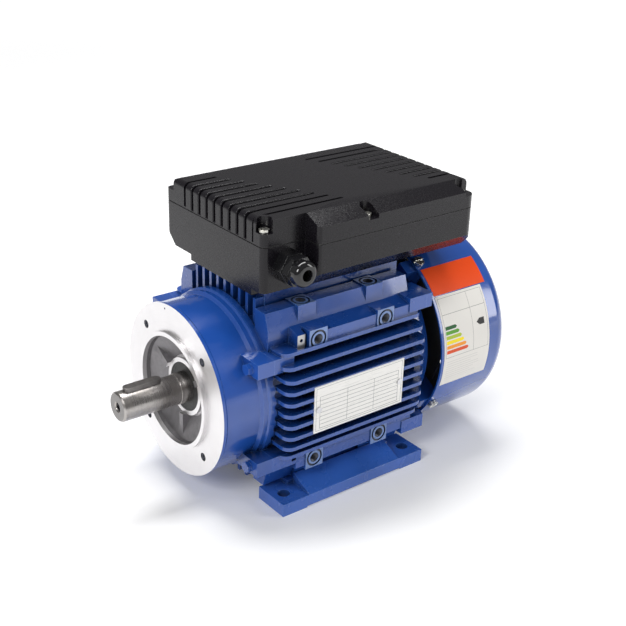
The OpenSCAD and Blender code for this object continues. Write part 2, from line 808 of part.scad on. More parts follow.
module shaft() {
    chamfer = 1.2;
    color("silver") difference() {
        revolve_x([
            [0, shaft_rear], [fan_seat_r - 1, shaft_rear], [fan_seat_r, shaft_rear + 1],
            [fan_seat_r, circlip_x - circlip_t - 0.2], [fan_seat_r - 0.8, circlip_x - circlip_t - 0.2],
            [fan_seat_r - 0.8, circlip_x], [fan_seat_r, circlip_x],
            [fan_seat_r, rear_bearing_x - bearing_w - 0.5], [bearing_r, rear_bearing_x - bearing_w - 0.5],
            [bearing_r, rear_bearing_x], [collar_r, rear_bearing_x],
            [collar_r, core_rear - ring_len], [core_seat_r, core_rear - ring_len],
            [core_seat_r, core_front + ring_len], [collar_r, core_front + ring_len],
            [collar_r, front_bearing_x - bearing_w], [bearing_r, front_bearing_x - bearing_w],
            [bearing_r, 0], [shaft_d / 2, 0], [shaft_d / 2, shaft_ext - chamfer],
            [shaft_d / 2 - chamfer, shaft_ext], [0, shaft_ext]
        ]);
        key_slot(key_w / 2 + 0.02, shaft_d / 2 - key_depth, cut);
        along_x(shaft_ext - centre_hole_depth) cylinder(h = centre_hole_depth + cut, d = centre_hole_d);
        along_x(shaft_ext - 1) cylinder(h = 1.01, r1 = centre_hole_d / 2, r2 = centre_hole_d / 2 + 1);
    }
}

// Round-ended prism of the key's outline, from z upwards
module key_slot(r, z, extra) {
    rear = shaft_ext - key_gap - key_len;
    grow = r - key_w / 2;
    translate([0, 0, z]) {
        block([rear + key_w / 2, -r, 0], [rear + key_len - key_w / 2, r, key_h + extra]);
        for (x = [rear + key_w / 2, rear + key_len - key_w / 2])
            translate([x, 0, 0]) cylinder(h = key_h + extra, r = key_w / 2 + grow);
    }
}

module shaft_key() { color("gray") key_slot(key_w / 2, shaft_d / 2 - key_depth, 0); }

module rotor_core() {
    color("dimgray") along_x(core_rear) linear_extrude(core_len) difference() {
        circle(rotor_r, $fn = 128);
        circle(core_seat_r + seat_gap);
        for (i = [0:rotor_bars - 1]) rotate(90 - i * 360 / rotor_bars)
            translate([bar_circle_r, 0]) circle(bar_r, $fn = 24);
    }
}

module rotor_cage() {
    color("silver") {
        for (i = [0:rotor_bars - 1]) rotate([i * 360 / rotor_bars, 0, 0])
            translate([0, bar_circle_r, 0]) along_x(core_rear - cut)
                cylinder(h = core_len + 2 * cut, r = bar_r - 0.02, $fn = 24);
        for (x = [core_front, core_rear - ring_len]) ring_x(x, ring_len, rotor_r - 0.5, ring_inner_r);
        for (i = [0:9]) rotate([i * 36, 0, 0]) {
            block([core_front + ring_len - cut, ring_inner_r + 3, -1.2],
                  [core_front + ring_len + vane_len, rotor_r - 2, 1.2]);
            block([core_rear - ring_len - vane_len, ring_inner_r + 3, -1.2],
                  [core_rear - ring_len + cut, rotor_r - 2, 1.2]);
        }
    }
}

module shaft_seal() {
    color("black") ring_x(seal_front - seal_w + 0.02, seal_w - 0.02, seal_r, bearing_r + run_gap);
}

module preload_washer() {
    color("silver") ring_x(rear_bearing_x - bearing_w - washer_t + 0.02, washer_t - 0.04,
                           bearing_d / 2 - 0.3, bearing_d / 2 - 4);
}

// ---------------------------------------------------------------- Bearings

// Raceway torus about the shaft axis, centred on the bearing whose front face is at x
module raceway(x) {
    translate([x - bearing_w / 2, 0, 0]) rotate([0, 90, 0])
        rotate_extrude($fn = 128) translate([pitch_r, 0]) circle(groove_r);
}

module bearing_outer(x) {
    color("gainsboro") difference() {
        ring_x(x - bearing_w, bearing_w, bearing_d / 2, outer_ring_inner_r);
        raceway(x);
    }
}

module bearing_inner(x) {
    color("gainsboro") difference() {
        ring_x(x - bearing_w, bearing_w, inner_ring_outer_r, bearing_r + 0.02);
        raceway(x);
    }
}

module bearing_cage(x) {
    color("darkgoldenrod") difference() {
        ring_x(x - bearing_w / 2 - ball_d * 0.62, ball_d * 1.24, pitch_r + 1.5, pitch_r - 1.5);
        for (i = [0:ball_count - 1]) rotate([i * 360 / ball_count, 0, 0])
            translate([x - bearing_w / 2, pitch_r - 5, 0]) rotate([-90, 0, 0])
                cylinder(h = 10, r = ball_d / 2 + 0.1);
    }
}

module bearing_balls(x) {
    color("white") for (i = [0:ball_count - 1]) rotate([i * 360 / ball_count, 0, 0])
        translate([x - bearing_w / 2, pitch_r, 0]) sphere(d = ball_d);
}

module front_bearing_outer() { bearing_outer(front_bearing_x); }
module front_bearing_inner() { bearing_inner(front_bearing_x); }
module front_bearing_cage() { bearing_cage(front_bearing_x); }
module front_bearing_balls() { bearing_balls(front_bearing_x); }
module rear_bearing_outer() { bearing_outer(rear_bearing_x); }
module rear_bearing_inner() { bearing_inner(rear_bearing_x); }
module rear_bearing_cage() { bearing_cage(rear_bearing_x); }
module rear_bearing_balls() { bearing_balls(rear_bearing_x); }

// ---------------------------------------------------------------- Fan

module fan() {
    disc_t = 2.4;
    color("darkslategray") difference() {
        union() {
            along_x(fan_x - fan_hub_len) cylinder(h = fan_hub_len, r = fan_hub_r);
            along_x(fan_x - disc_t - 4) cylinder(h = disc_t, r = fan_d / 2 - 6, $fn = 128);
            for (i = [0:fan_blades - 1]) rotate([i * 360 / fan_blades, 0, 0])
                block([fan_x - fan_hub_len - 6, fan_hub_r - 1, -1.1],
                      [fan_x - 4, fan_d / 2, 1.1]);
        }
        along_x(fan_x - fan_hub_len - cut)
            cylinder(h = fan_hub_len + 2 * cut, r = fan_seat_r + seat_gap);
    }
}

module fan_circlip() {
    color("gray") difference() {
        ring_x(circlip_x - circlip_t, circlip_t, fan_seat_r + 2.6, fan_seat_r - 0.75);
        rotate([35, 0, 0]) block([circlip_x - 2 * circlip_t, 0, -3],
                                 [circlip_x + circlip_t, fan_seat_r + 4, 3]);
    }
}

// ---------------------------------------------------------------- Start switch

module governor_hub() {
    color("silver") difference() {
        union() {
            along_x(governor_x - governor_plate_t) cylinder(h = governor_plate_t, r = governor_plate_r);
            along_x(governor_x - 3.4) cylinder(h = 3.4, r = collar_r + 2.5);
            for (side = [-1, 1]) translate([0, side * weight_pivot[0], side * weight_pivot[1]])
                along_x(weight_x - 0.2) cylinder(h = weight_t + 1, r = weight_pin_r, $fn = 24);
        }
        along_x(governor_x - 4.4) cylinder(h = 6, r = collar_r + seat_gap);
    }
}

module governor_collar() {
    color("ivory") ring_x(collar_rear, collar_len, collar_r + 3, collar_r + run_gap);
    color("ivory") ring_x(collar_rear, 1.4, switch_inner_r - 6, collar_r + 2);
}

// One centrifugal weight: half a ring on its pin, above the shaft
module governor_weight() {
    color("gray") difference() {
        intersection() {
            ring_x(weight_x, weight_t, weight_outer_r, weight_inner_r);
            block([weight_x - cut, -weight_outer_r - cut, 1.2],
                  [weight_x + weight_t + cut, weight_outer_r + cut, weight_outer_r + cut]);
        }
        translate([0, weight_pivot[0], weight_pivot[1]]) along_x(weight_x - cut)
            cylinder(h = weight_t + 2 * cut, r = weight_pin_r + run_gap, $fn = 24);
    }
}

module governor_weight_upper() { governor_weight(); }
module governor_weight_lower() { rotate([180, 0, 0]) governor_weight(); }

module switch_plate() {
    color("tan") difference() {
        union() {
            intersection() {
                ring_x(switch_x, switch_t, switch_outer_r, switch_inner_r);
                union() {
                    block([switch_x - cut, -60, 8], [switch_x + 3, 60, 60]);
                    block([switch_x - cut, -60, -60], [switch_x + 3, 60, -8]);
                }
            }
            for (y = [-1, 1]) block([switch_x + switch_t - 0.2, y > 0 ? 3.2 : -5.2, arm_pivot_z - 2.5],
                                    [arm_pin_x + 1.6, y > 0 ? 5.2 : -3.2, arm_pivot_z + 2.5]);
            translate([arm_pin_x, -5.2, arm_pivot_z]) rotate([-90, 0, 0])
                cylinder(h = 10.4, r = arm_pin_r, $fn = 24);
        }
        for (a = [60, 120, 240, 300]) rotate([a, 0, 0]) translate([0, switch_post_r, 0])
            along_x(switch_x - cut) cylinder(h = 4, r = 1.6);
    }
}

module switch_arm() {
    rear = arm_pin_x - arm_pin_r - 0.7;
    color("goldenrod") difference() {
        union() {
            block([rear, -3, governor_plate_r - 3], [rear + 0.8, 3, arm_pivot_z]);
            translate([arm_pin_x, -3, arm_pivot_z]) rotate([-90, 0, 0])
                cylinder(h = 6, r = arm_pin_r + 0.7, $fn = 24);
        }
        translate([arm_pin_x, -6, arm_pivot_z]) rotate([-90, 0, 0])
            cylinder(h = 12, r = arm_pin_r + run_gap, $fn = 24);
    }
}

// ---------------------------------------------------------------- Terminal box

// Plan of the box, drawn inward by inset
module box_plan(inset) {
    r = corner_r - inset;
    front = box_front - inset;
    rear = box_rear + inset;
    half = box_half - inset;
    notch_x = box_front - notch_len - inset;
    translate([rear + r, -half]) square([notch_x - rear - r, 2 * half]);
    translate([rear, -half + r]) square([2 * r, 2 * half - 2 * r]);
    for (y = [-half + r, half - r]) translate([rear + r, y]) circle(r);
    translate([notch_x - cut, -half]) square([front - notch_x + cut - r / 2, notch_y - inset + half]);
    translate([notch_x, -half + r / 2]) square([front - notch_x, notch_y - inset + half - r]);
    for (y = [-half + r / 2, notch_y - inset - r / 2]) translate([front - r / 2, y]) circle(r / 2);
}

// Side outline [y, z] of the base: upright walls with the lower edges cut in
function base_section(i) = [
    [-box_half + chamfer_in + i, box_floor_z], [box_half - chamfer_in - i, box_floor_z],
    [box_half - i, box_floor_z + chamfer_up], [box_half - i, seam_z + cut],
    [-box_half + i, seam_z + cut], [-box_half + i, box_floor_z + chamfer_up]
];

// Side outline [y, z] of the lid: its long upper edges slope
function lid_section(i) = [
    [-box_half + i, seam_z - cut], [box_half - i, seam_z - cut],
    [box_half - i, lid_top_z - lid_slope_down - i / 2], [box_half - lid_slope_in - i / 2, lid_top_z - i],
    [-box_half + lid_slope_in + i / 2, lid_top_z - i], [-box_half + i, lid_top_z - lid_slope_down - i / 2]
];

module base_body(inset, low, high) {
    intersection() {
        translate([0, 0, low]) linear_extrude(high - low) box_plan(inset);
        prism_x(box_rear - cut, box_len + 2 * cut, base_section(inset));
    }
}

module terminal_box_base() {
    top = seam_z - gasket_t / 2;
    color("#26262a") difference() {
        union() {
            difference() {
                base_body(0, box_floor_z, top);
                base_body(box_wall, box_floor_z + floor_t, top + cut);
            }
            block([plinth_front - plinth_len, -plinth_half, plinth_z], [plinth_front, plinth_half, box_floor_z + cut]);
            for (p = lid_screw_places) intersection() {
                translate([p[0], p[1], box_floor_z]) cylinder(h = top - box_floor_z, r = pillar_r);
                base_body(0, box_floor_z, top);
            }
            translate([gland_x, gland_wall_y - box_wall, gland_z]) rotate([-90, 0, 0])
                cylinder(h = box_wall + 0.99, r = gland_af / 2 + 3);
            for (x = [-8, 8], y = [-33, 33]) translate([board_x + x, y, floor_top_z - cut])
                cylinder(h = board_z - floor_top_z + cut, r = 4);
        }
        translate([lead_x, 0, plinth_z - cut]) cylinder(h = 20, r = lead_hole_r);
        for (p = base_screw_places) translate([p[0], p[1], plinth_z - cut])
            cylinder(h = 20, d = base_screw_d + 0.5);
        for (p = lid_screw_places) translate([p[0], p[1], top - 16])
            cylinder(h = 16 + cut, d = lid_screw_d + 2 * seat_gap);
        translate([gland_x, gland_wall_y - box_wall - cut, gland_z]) rotate([-90, 0, 0])
            cylinder(h = 20, d = gland_thread_d + 0.3);
        translate([earth_place[0], earth_place[1], floor_top_z - 2.8]) cylinder(h = 4, d = 4.1);
    }
}

// Upper body of the lid with its long edges sloped and its end edges rounded
module lid_body(inset, edge_r) {
    front = box_front - inset;
    rear = box_rear + inset;
    top = lid_top_z - inset;
    intersection() {
        translate([0, 0, seam_z - cut]) linear_extrude(box_lid_h + 2 * cut) box_plan(inset);
        prism_x(box_rear - cut, box_len + 2 * cut, lid_section(inset));
        translate([0, box_half + cut, 0]) rotate([90, 0, 0]) linear_extrude(box_w + 2 * cut) union() {
            translate([rear, seam_z - 2 * cut]) square([front - rear, top - edge_r - seam_z + 2 * cut]);
            translate([rear + edge_r, seam_z - 2 * cut])
                square([front - rear - 2 * edge_r, top - seam_z + 2 * cut]);
            for (x = [rear + edge_r, front - edge_r]) translate([x, top - edge_r]) circle(edge_r);
        }
    }
}

// Slabs along which the grooves are cut, over the end edge and down the end face
module groove_slabs() {
    mid = (groove_count - 1) / 2;
    front_reach = [28, 81.5];
    rear_reach = [80, 27];
    for (i = [0:groove_count - 1]) {
        y = (i - mid) * groove_pitch;
        share = i / (groove_count - 1);
        front_in = box_front - front_reach[0] - share * (front_reach[1] - front_reach[0]);
        rear_in = box_rear + rear_reach[0] + share * (rear_reach[1] - rear_reach[0]);
        groove_slot(front_in, box_front + cut, y);
        groove_slot(box_rear - cut, rear_in, y);
    }
}

// One upright slot from x0 to x1 with round ends
module groove_slot(x0, x1, y) {
    block([x0, y - groove_w / 2, seam_z + 1.5], [x1, y + groove_w / 2, lid_top_z + cut]);
    for (x = [x0, x1]) translate([x, y, seam_z + 1.5])
        cylinder(h = box_lid_h, r = groove_w / 2, $fn = 24);
}

// Opening from a screw pocket out through the nearest walls
module pocket_mouth(p) {
    side = p[1] > 0 ? 1 : -1;
    end = p[0] > box_front - 2 * corner_r ? 1 : p[0] < box_rear + 2 * corner_r ? -1 : 0;
    inner_x = end == 0 ? pocket_r - 0.6 : pocket_lip;
    outer_x = end == 0 ? pocket_r - 0.6 : pocket_r + corner_r;
    translate([p[0], p[1], pocket_z]) scale([end < 0 ? -1 : 1, side, 1])
        block([-inner_x, end == 0 ? 0 : -pocket_lip, 0], [outer_x, pocket_r + corner_r, box_lid_h]);
}

module terminal_box_lid() {
    bottom = seam_z + gasket_t / 2;
    lid_wall = box_wall + groove_depth - 1;
    color("#26262a") difference() {
        union() {
            difference() {
                lid_body(0, 5);
                difference() {
                    groove_slabs();
                    lid_body(groove_depth, 5 - groove_depth / 2);
                }
                lid_body(lid_wall, 3);
            }
            for (p = lid_screw_places) intersection() {
                translate([p[0], p[1], seam_z]) cylinder(h = pocket_z - seam_z, r = pocket_r + pocket_wall);
                lid_body(0, 5);
            }
            for (p = lid_screw_places) intersection() {
                difference() {
                    translate([p[0], p[1], seam_z]) cylinder(h = box_lid_h, r = pocket_r + pocket_wall);
                    translate([p[0], p[1], seam_z]) cylinder(h = box_lid_h + cut, r = pocket_r);
                }
                lid_body(0, 5);
            }
        }
        for (p = lid_screw_places) {
            translate([p[0], p[1], pocket_z]) cylinder(h = 20, r = pocket_r);
            pocket_mouth(p);
            translate([p[0], p[1], seam_z - 2 * cut]) cylinder(h = box_lid_h, d = lid_screw_d + 0.5);
        }
        block([box_rear - 5, -box_half - 5, seam_z - 5], [box_front + 5, box_half + 5, bottom]);
    }
}

module lid_gasket() {
    color("black") difference() {
        translate([0, 0, seam_z - gasket_t / 2]) linear_extrude(gasket_t) difference() {
            box_plan(0.6);
            box_plan(box_wall + 0.4);
        }
        for (p = lid_screw_places) translate([p[0], p[1], seam_z - 2])
            cylinder(h = 4, d = lid_screw_d + 0.6);
    }
}

module base_gasket() {
    color("black") difference() {
        block([plinth_front - plinth_len + 2, -plinth_half + 2, box_pad_z],
              [pad_block_front - 0.5, plinth_half - 2, plinth_z]);
        translate([lead_x, 0, box_pad_z - cut]) cylinder(h = 4, r = lead_hole_r + 0.3);
        for (p = base_screw_places) translate([p[0], p[1], box_pad_z - cut])
            cylinder(h = 4, d = base_screw_d + 0.6);
    }
}

module lid_screws() {
    color("silver") for (p = lid_screw_places) translate([p[0], p[1], pocket_z]) rotate([180, 0, 0])
        pan_screw(lid_screw_d, pocket_z - seam_z + 12, 8, 2.6);
}

module base_screws() {
    color("silver") for (p = base_screw_places) translate([p[0], p[1], floor_top_z]) rotate([180, 0, 0])
        pan_screw(base_screw_d, floor_top_z - box_pad_z + 8, 9, 3);
}

// ---------------------------------------------------------------- Cable gland

// Puts a gland piece drawn along +Z onto the gland axis, y beyond the box wall
module at_gland(y) {
    translate([gland_x, gland_wall_y + 1 + y, gland_z]) rotate([-90, 0, 0]) children();
}

module gland_body() {
    color("black") difference() {
        union() {
            at_gland(0) hexagon(gland_af, gland_hex_len);
            at_gland(-box_wall - 7) cylinder(h = box_wall + 8, d = gland_thread_d);
            at_gland(gland_hex_len - cut) cylinder(h = gland_neck_len + cut, r = gland_neck_r);
        }
        at_gland(-20) cylinder(h = 60, r = gland_bore_d / 2 + 1);
    }
}

module gland_seal() {
    color("dimgray") difference() {
        at_gland(gland_hex_len + gland_neck_len) cylinder(h = gland_seal_len, r = gland_neck_r);
        at_gland(0) cylinder(h = 60, d = gland_bore_d);
    }
}

module gland_nut() {
    inner_len = gland_neck_len + gland_seal_len;
    wall = 3.6;
    r = 4;
    color("black") difference() {
        union() {
            at_gland(gland_hex_len + 0.4) hexagon(gland_af - 1, gland_neck_len);
            at_gland(gland_hex_len + 0.4) cylinder(h = inner_len + wall - r, r = gland_dome_r + 1.4);
            at_gland(gland_hex_len + 0.4) rotate_extrude() union() {
                square([gland_dome_r + 1.4 - r, inner_len + wall]);
                translate([gland_dome_r + 1.4 - r, inner_len + wall - r]) circle(r);
            }
        }
        at_gland(gland_hex_len - cut) cylinder(h = inner_len + cut, r = gland_neck_r + 0.08);
        at_gland(0) cylinder(h = 60, d = gland_bore_d);
    }
}

module gland_locknut() {
    color("black") difference() {
        at_gland(-box_wall - 6) rotate(30) hexagon(gland_thread_d + 2, 4.8);
        at_gland(-20) cylinder(h = 20, r = gland_thread_d / 2 + seat_gap);
    }
}

// ---------------------------------------------------------------- Inside the box

// One capacitor can lying along the box, with its rim and two tags
module capacitor(y, d) {
    z = floor_top_z + d / 2 + 0.2;
    translate([0, y, z]) {
        along_x(cap_front - cap_len) cylinder(h = cap_len, d = d);
        along_x(cap_front - 0.5) cylinder(h = 2.5, d = d - 3);
        for (side = [-1, 1]) block([cap_front + 1, side * d / 4 - 3, -0.4], [cap_front + 9, side * d / 4 + 3, 0.4]);
    }
}

module start_capacitor() { color("black") capacitor(cap_y, start_cap_d); }
module run_capacitor() { color("whitesmoke") capacitor(-cap_y, run_cap_d); }

// Strap over one capacitor with its two feet on the floor
module strap(y, d) {
    x = cap_front - cap_len / 2;
    w = 10;
    t = 0.8;
    z = floor_top_z + d / 2 + 0.2;
    r = d / 2 + 0.15;
    difference() {
        union() {
            translate([0, y, z]) along_x(x - w / 2) cylinder(h = w, r = r + t);
            block([x - w / 2, y - r - t, floor_top_z], [x + w / 2, y + r + t, z]);
            block([x - w / 2, y - r - 8, floor_top_z], [x + w / 2, y + r + 8, floor_top_z + t]);
        }
        translate([0, y, z]) along_x(x - w) cylinder(h = 2 * w, r = r);
        block([x - w, y - r, floor_top_z - cut], [x + w, y + r, z]);
    }
}

module capacitor_straps() {
    color("silver") {
        strap(cap_y, start_cap_d);
        strap(-cap_y, run_cap_d);
    }
}

module terminal_board() {
    color("saddlebrown") difference() {
        translate([board_x - board_size[0] / 2, -board_size[1] / 2, board_z]) cube(board_size);
        for (p = stud_places) translate([p[0], p[1], board_z - cut]) cylinder(h = 8, d = stud_d + 0.1);
    }
}

module terminal_studs() {
    color("gold") for (p = stud_places) translate([p[0], p[1], board_z - 3]) cylinder(h = 22, d = stud_d);
}

module terminal_nuts() {
    color("gold") for (p = stud_places, z = [board_z + board_size[2], board_z + board_size[2] + 4.4])
        translate([p[0], p[1], z + 0.02]) difference() {
            hexagon(7, 3.2);
            translate([0, 0, -cut]) cylinder(h = 6, d = stud_d + 0.1);
        }
}

module terminal_links() {
    z = board_z + board_size[2] + 3.26;
    color("goldenrod") for (i = [-1, 1]) difference() {
        block([board_x - 12, 24 * i - 4, z], [board_x + 12, 24 * i + 4, z + 1]);
        for (p = stud_places) translate([p[0], p[1], z - cut]) cylinder(h = 4, d = stud_d + 0.2);
    }
}

module earth_screw() {
    color("gold") translate([earth_place[0], earth_place[1], floor_top_z]) rotate([180, 0, 0])
        pan_screw(4, 2.6, 9, 3);
}

// ---------------------------------------------------------------- Plates and labels

module nameplate() {
    color("ivory") difference() {
        block([plate_x - plate_l, fin_reach, plate_z - plate_h / 2],
              [plate_x, fin_reach + plate_t, plate_z + plate_h / 2]);
        for (x = rivet_xs) translate([x, fin_reach + 3, plate_z]) rotate([90, 0, 0])
            cylinder(h = 6, d = rivet_d + 0.1);
    }
}

module nameplate_rivets() {
    color("silver") for (x = rivet_xs) translate([x, fin_reach + plate_t, plate_z]) rotate([90, 0, 0])
        union() {
            translate([0, 0, -1]) cylinder(h = 1, d = rivet_d + 2);
            cylinder(h = 5, d = rivet_d);
        }
}

// Thin label that lies on the cowl between two angles, from x0 to x1
module cowl_label(x0, x1, low, high) {
    t = 0.25;
    translate([x1, 0, 0]) rotate([low, 0, 0]) rotate([0, 90, 0]) rotate([0, 0, 90])
        rotate_extrude(angle = high - low, $fn = 128) translate([cowl_r + 0.05, 0]) square([t, x0 - x1]);
}

module efficiency_label() { color("white") cowl_label(cowl_front - 2.5, cowl_front - 55, -16.4, 37.4); }
module orange_label() { color("orangered") cowl_label(cowl_front - 2.5, cowl_front - 61, 38, 55); }

frame();
drive_end_shield();
rear_end_shield();
fan_cowl();
left_foot();
right_foot();
foot_screws();
drive_end_screws();
rear_end_screws();
cowl_screws();
stator_core();
slot_wedges();
main_winding();
start_winding();
winding_leads();
shaft();
shaft_key();
rotor_core();
rotor_cage();
shaft_seal();
preload_washer();
front_bearing_outer();
front_bearing_inner();
front_bearing_cage();
front_bearing_balls();
rear_bearing_outer();
rear_bearing_inner();
rear_bearing_cage();
rear_bearing_balls();
fan();
fan_circlip();
governor_hub();
governor_collar();
governor_weight_upper();
governor_weight_lower();
switch_plate();
switch_arm();
terminal_box_base();
terminal_box_lid();
lid_gasket();
base_gasket();
lid_screws();
base_screws();
gland_body();
gland_seal();
gland_nut();
gland_locknut();
start_capacitor();
run_capacitor();
capacitor_straps();
terminal_board();
terminal_studs();
terminal_nuts();
terminal_links();
earth_screw();
nameplate();
nameplate_rivets();
efficiency_label();
orange_label();
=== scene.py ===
"""Looks of a fan-cooled electric motor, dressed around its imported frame.

Lengths are metres in the frame's own axes: +X leaves the drive end along the shaft, +Z is up.
"""

import json
import logging
import math
from dataclasses import dataclass, field
from enum import Enum
from typing import Any, Callable, Optional, Sequence, Union

import bmesh
import bpy
from mathutils import Matrix, Vector


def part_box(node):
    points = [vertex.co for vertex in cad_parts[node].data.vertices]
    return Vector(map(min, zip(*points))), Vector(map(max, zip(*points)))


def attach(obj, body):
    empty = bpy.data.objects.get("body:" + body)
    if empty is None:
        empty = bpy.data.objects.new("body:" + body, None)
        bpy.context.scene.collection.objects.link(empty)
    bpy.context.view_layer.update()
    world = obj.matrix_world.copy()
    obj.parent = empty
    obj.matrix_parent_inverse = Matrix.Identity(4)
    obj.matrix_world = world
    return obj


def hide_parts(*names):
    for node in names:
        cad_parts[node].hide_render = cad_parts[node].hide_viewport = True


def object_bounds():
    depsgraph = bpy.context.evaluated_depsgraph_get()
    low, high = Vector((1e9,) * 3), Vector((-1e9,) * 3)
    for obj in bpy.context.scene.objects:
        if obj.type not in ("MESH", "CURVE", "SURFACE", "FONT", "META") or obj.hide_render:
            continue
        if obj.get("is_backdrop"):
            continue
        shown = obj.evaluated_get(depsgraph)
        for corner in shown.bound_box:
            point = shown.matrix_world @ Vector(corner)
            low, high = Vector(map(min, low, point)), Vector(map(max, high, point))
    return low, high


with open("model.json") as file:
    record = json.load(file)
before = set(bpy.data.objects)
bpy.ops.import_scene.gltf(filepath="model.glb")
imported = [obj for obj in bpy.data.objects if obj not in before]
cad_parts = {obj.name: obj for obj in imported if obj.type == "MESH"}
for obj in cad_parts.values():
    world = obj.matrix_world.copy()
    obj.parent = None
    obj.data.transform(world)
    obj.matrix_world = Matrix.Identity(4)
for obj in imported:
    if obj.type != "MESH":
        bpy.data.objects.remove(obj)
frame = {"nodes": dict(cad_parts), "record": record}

LOG = logging.getLogger("motor")
MM = 0.001
M8_PITCH = 1.25 * MM
RECORD = frame["record"]
SLOT_OF = {part["node"]: part["material_slot"] for part in RECORD["subparts"]}
BODY_OF = {node: body for body, nodes in RECORD["behaviour"]["bodies"].items() for node in nodes}
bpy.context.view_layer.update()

Colour = tuple[float, float, float]
Value = Union[float, Sequence[float], bpy.types.NodeSocket]
FaceTest = Callable[[Vector, Vector], bool]
EdgeTest = Callable[[Vector], bool]


# ---------------------------------------------------------------- Shader helpers


class Graph:
    """The node tree of one material, with short calls that add and join its nodes."""

    def __init__(self, name: str) -> None:
        """Start a material that holds one Principled shader.

        Args:
            name: Name of the new material.
        """
        self.material = bpy.data.materials.new(f"{name}_finish")
        self.material.use_nodes = True
        self.tree = self.material.node_tree
        self.tree.nodes.clear()
        output = self.tree.nodes.new("ShaderNodeOutputMaterial")
        self.shader = self.tree.nodes.new("ShaderNodeBsdfPrincipled")
        self.tree.links.new(self.shader.outputs[0], output.inputs[0])
        self.place = self.node("ShaderNodeTexCoord").outputs["Object"]
        self.x, self.y, self.z = self.node("ShaderNodeSeparateXYZ", {0: self.place}).outputs[:3]

    def node(self, kind: str, sockets: Optional[dict[Any, Value]] = None,
             **options: Any) -> bpy.types.Node:
        """Add one node.

        Args:
            kind: Blender's name of the node type.
            sockets: Input name or number, and the value or the socket that feeds it.
            **options: Attributes of the node itself.

        Returns:
            The new node.
        """
        made = self.tree.nodes.new(kind)
        for option, value in options.items():
            setattr(made, option, value)
        for key, value in (sockets or {}).items():
            self.feed(made.inputs[key], value)
        return made

    def feed(self, socket: bpy.types.NodeSocket, value: Value) -> None:
        """Link a socket to another one, or set its constant.

        Args:
            socket: The input.
            value: The feeding socket, a number or a colour.
        """
        if isinstance(value, bpy.types.NodeSocket):
            self.tree.links.new(value, socket)
        elif isinstance(value, (tuple, list)) and socket.type == "RGBA" and len(value) == 3:
            socket.default_value = (*value, 1.0)
        else:
            socket.default_value = value

    def math(self, operation: str, first: Value, second: Value = 0.0) -> bpy.types.NodeSocket:
        """Return one arithmetic step on two values."""
        return self.node("ShaderNodeMath", {0: first, 1: second}, operation=operation).outputs[0]

    def radius(self) -> bpy.types.NodeSocket:
        """Return the distance from the shaft axis."""
        across, up = self.math("MULTIPLY", self.y, self.y), self.math("MULTIPLY", self.z, self.z)
        return self.math("SQRT", self.math("ADD", across, up))

    def band(self, value: Value, low: Value, high: Value) -> bpy.types.NodeSocket:
        """Return 1 where a value lies between two limits, else 0."""
        above, below = self.math("GREATER_THAN", value, low), self.math("LESS_THAN", value, high)
        return self.math("MULTIPLY", above, below)

    def noise(self, scale: float, detail: float = 2.0, rough: float = 0.5,
              stretch: Colour = (1.0, 1.0, 1.0)) -> bpy.types.NodeSocket:
        """Add a soft noise between 0 and 1.

        Args:
            scale: Waves per metre before stretching.
            detail: Number of finer layers.
            rough: Share that each finer layer keeps.
            stretch: Factor on each axis of the coordinates.

        Returns:
            The noise.
        """
        spot = self.node("ShaderNodeMapping", {"Vector": self.place, "Scale": stretch}).outputs[0]
        sockets = {"Vector": spot, "Scale": scale, "Detail": detail, "Roughness": rough}
        return self.node("ShaderNodeTexNoise", sockets).outputs["Fac"]

    def streaks(self, value: Value, scale: float) -> bpy.types.NodeSocket:
        """Return a fine noise that changes along one value only, as tool marks do."""
        spot = self.node("ShaderNodeCombineXYZ", {0: value}).outputs[0]
        return self.node("ShaderNodeTexNoise", {"Vector": spot, "Scale": scale, "Detail": 3.0}).outputs["Fac"]

    def spread(self, value: Value, low: float, high: float, start: float = 0.3,
               end: float = 0.7) -> bpy.types.NodeSocket:
        """Return a value moved from start..end to low..high, and held there."""
        sockets = {"Value": value, "From Min": start, "From Max": end, "To Min": low, "To Max": high}
        return self.node("ShaderNodeMapRange", sockets, clamp=True).outputs[0]

    def mix(self, share: Value, first: Value, second: Value) -> bpy.types.NodeSocket:
        """Blend two colours.

        Args:
            share: Part of the second colour, 0 to 1.
            first: The first colour.
            second: The second colour.

        Returns:
            The blend.
        """
        made = self.node("ShaderNodeMix", data_type="RGBA")
        colours = [s for s in made.inputs if s.type == "RGBA"]
        self.feed(made.inputs[0], share)
        self.feed(colours[0], first)
        self.feed(colours[1], second)
        return [s for s in made.outputs if s.type == "RGBA"][0]

    def bump(self, height: Value, distance: float, strength: float = 1.0,
             under: Optional[bpy.types.NodeSocket] = None) -> bpy.types.NodeSocket:
        """Move the normal by a height.

        Args:
            height: The height, between 0 and 1.
            distance: Depth of a full wave, in metres.
            strength: Share of it that shows.
            under: A normal to add to.

        Returns:
            The moved normal.
        """
        sockets = {"Height": height, "Distance": distance, "Strength": strength}
        if under is not None:
            sockets["Normal"] = under
        return self.node("ShaderNodeBump", sockets).outputs[0]

    def edges(self, radius: float) -> bpy.types.NodeSocket:
        """Find the edges of the shape.

        Args:
            radius: How far an edge reaches into its faces.

        Returns:
            1 along the edges and 0 away from them.
        """
        soft = self.node("ShaderNodeBevel", {"Radius": radius}, samples=4).outputs[0]
        true = self.node("ShaderNodeNewGeometry").outputs["Normal"]
        dot = self.node("ShaderNodeVectorMath", {0: soft, 1: true}, operation="DOT_PRODUCT").outputs["Value"]
        return self.spread(dot, 1.0, 0.0, 0.86, 0.985)

    def crevice_shade(self, reach: float) -> bpy.types.NodeSocket:
        """Return a mask for painted shade: 0 deep between neighbouring walls of the piece, and 1 out in the
        open.
        """
        probe = self.node("ShaderNodeAmbientOcclusion", {"Distance": reach}, samples=6, only_local=True)
        return self.spread(probe.outputs["AO"], 0.0, 1.0, 0.25, 0.85)

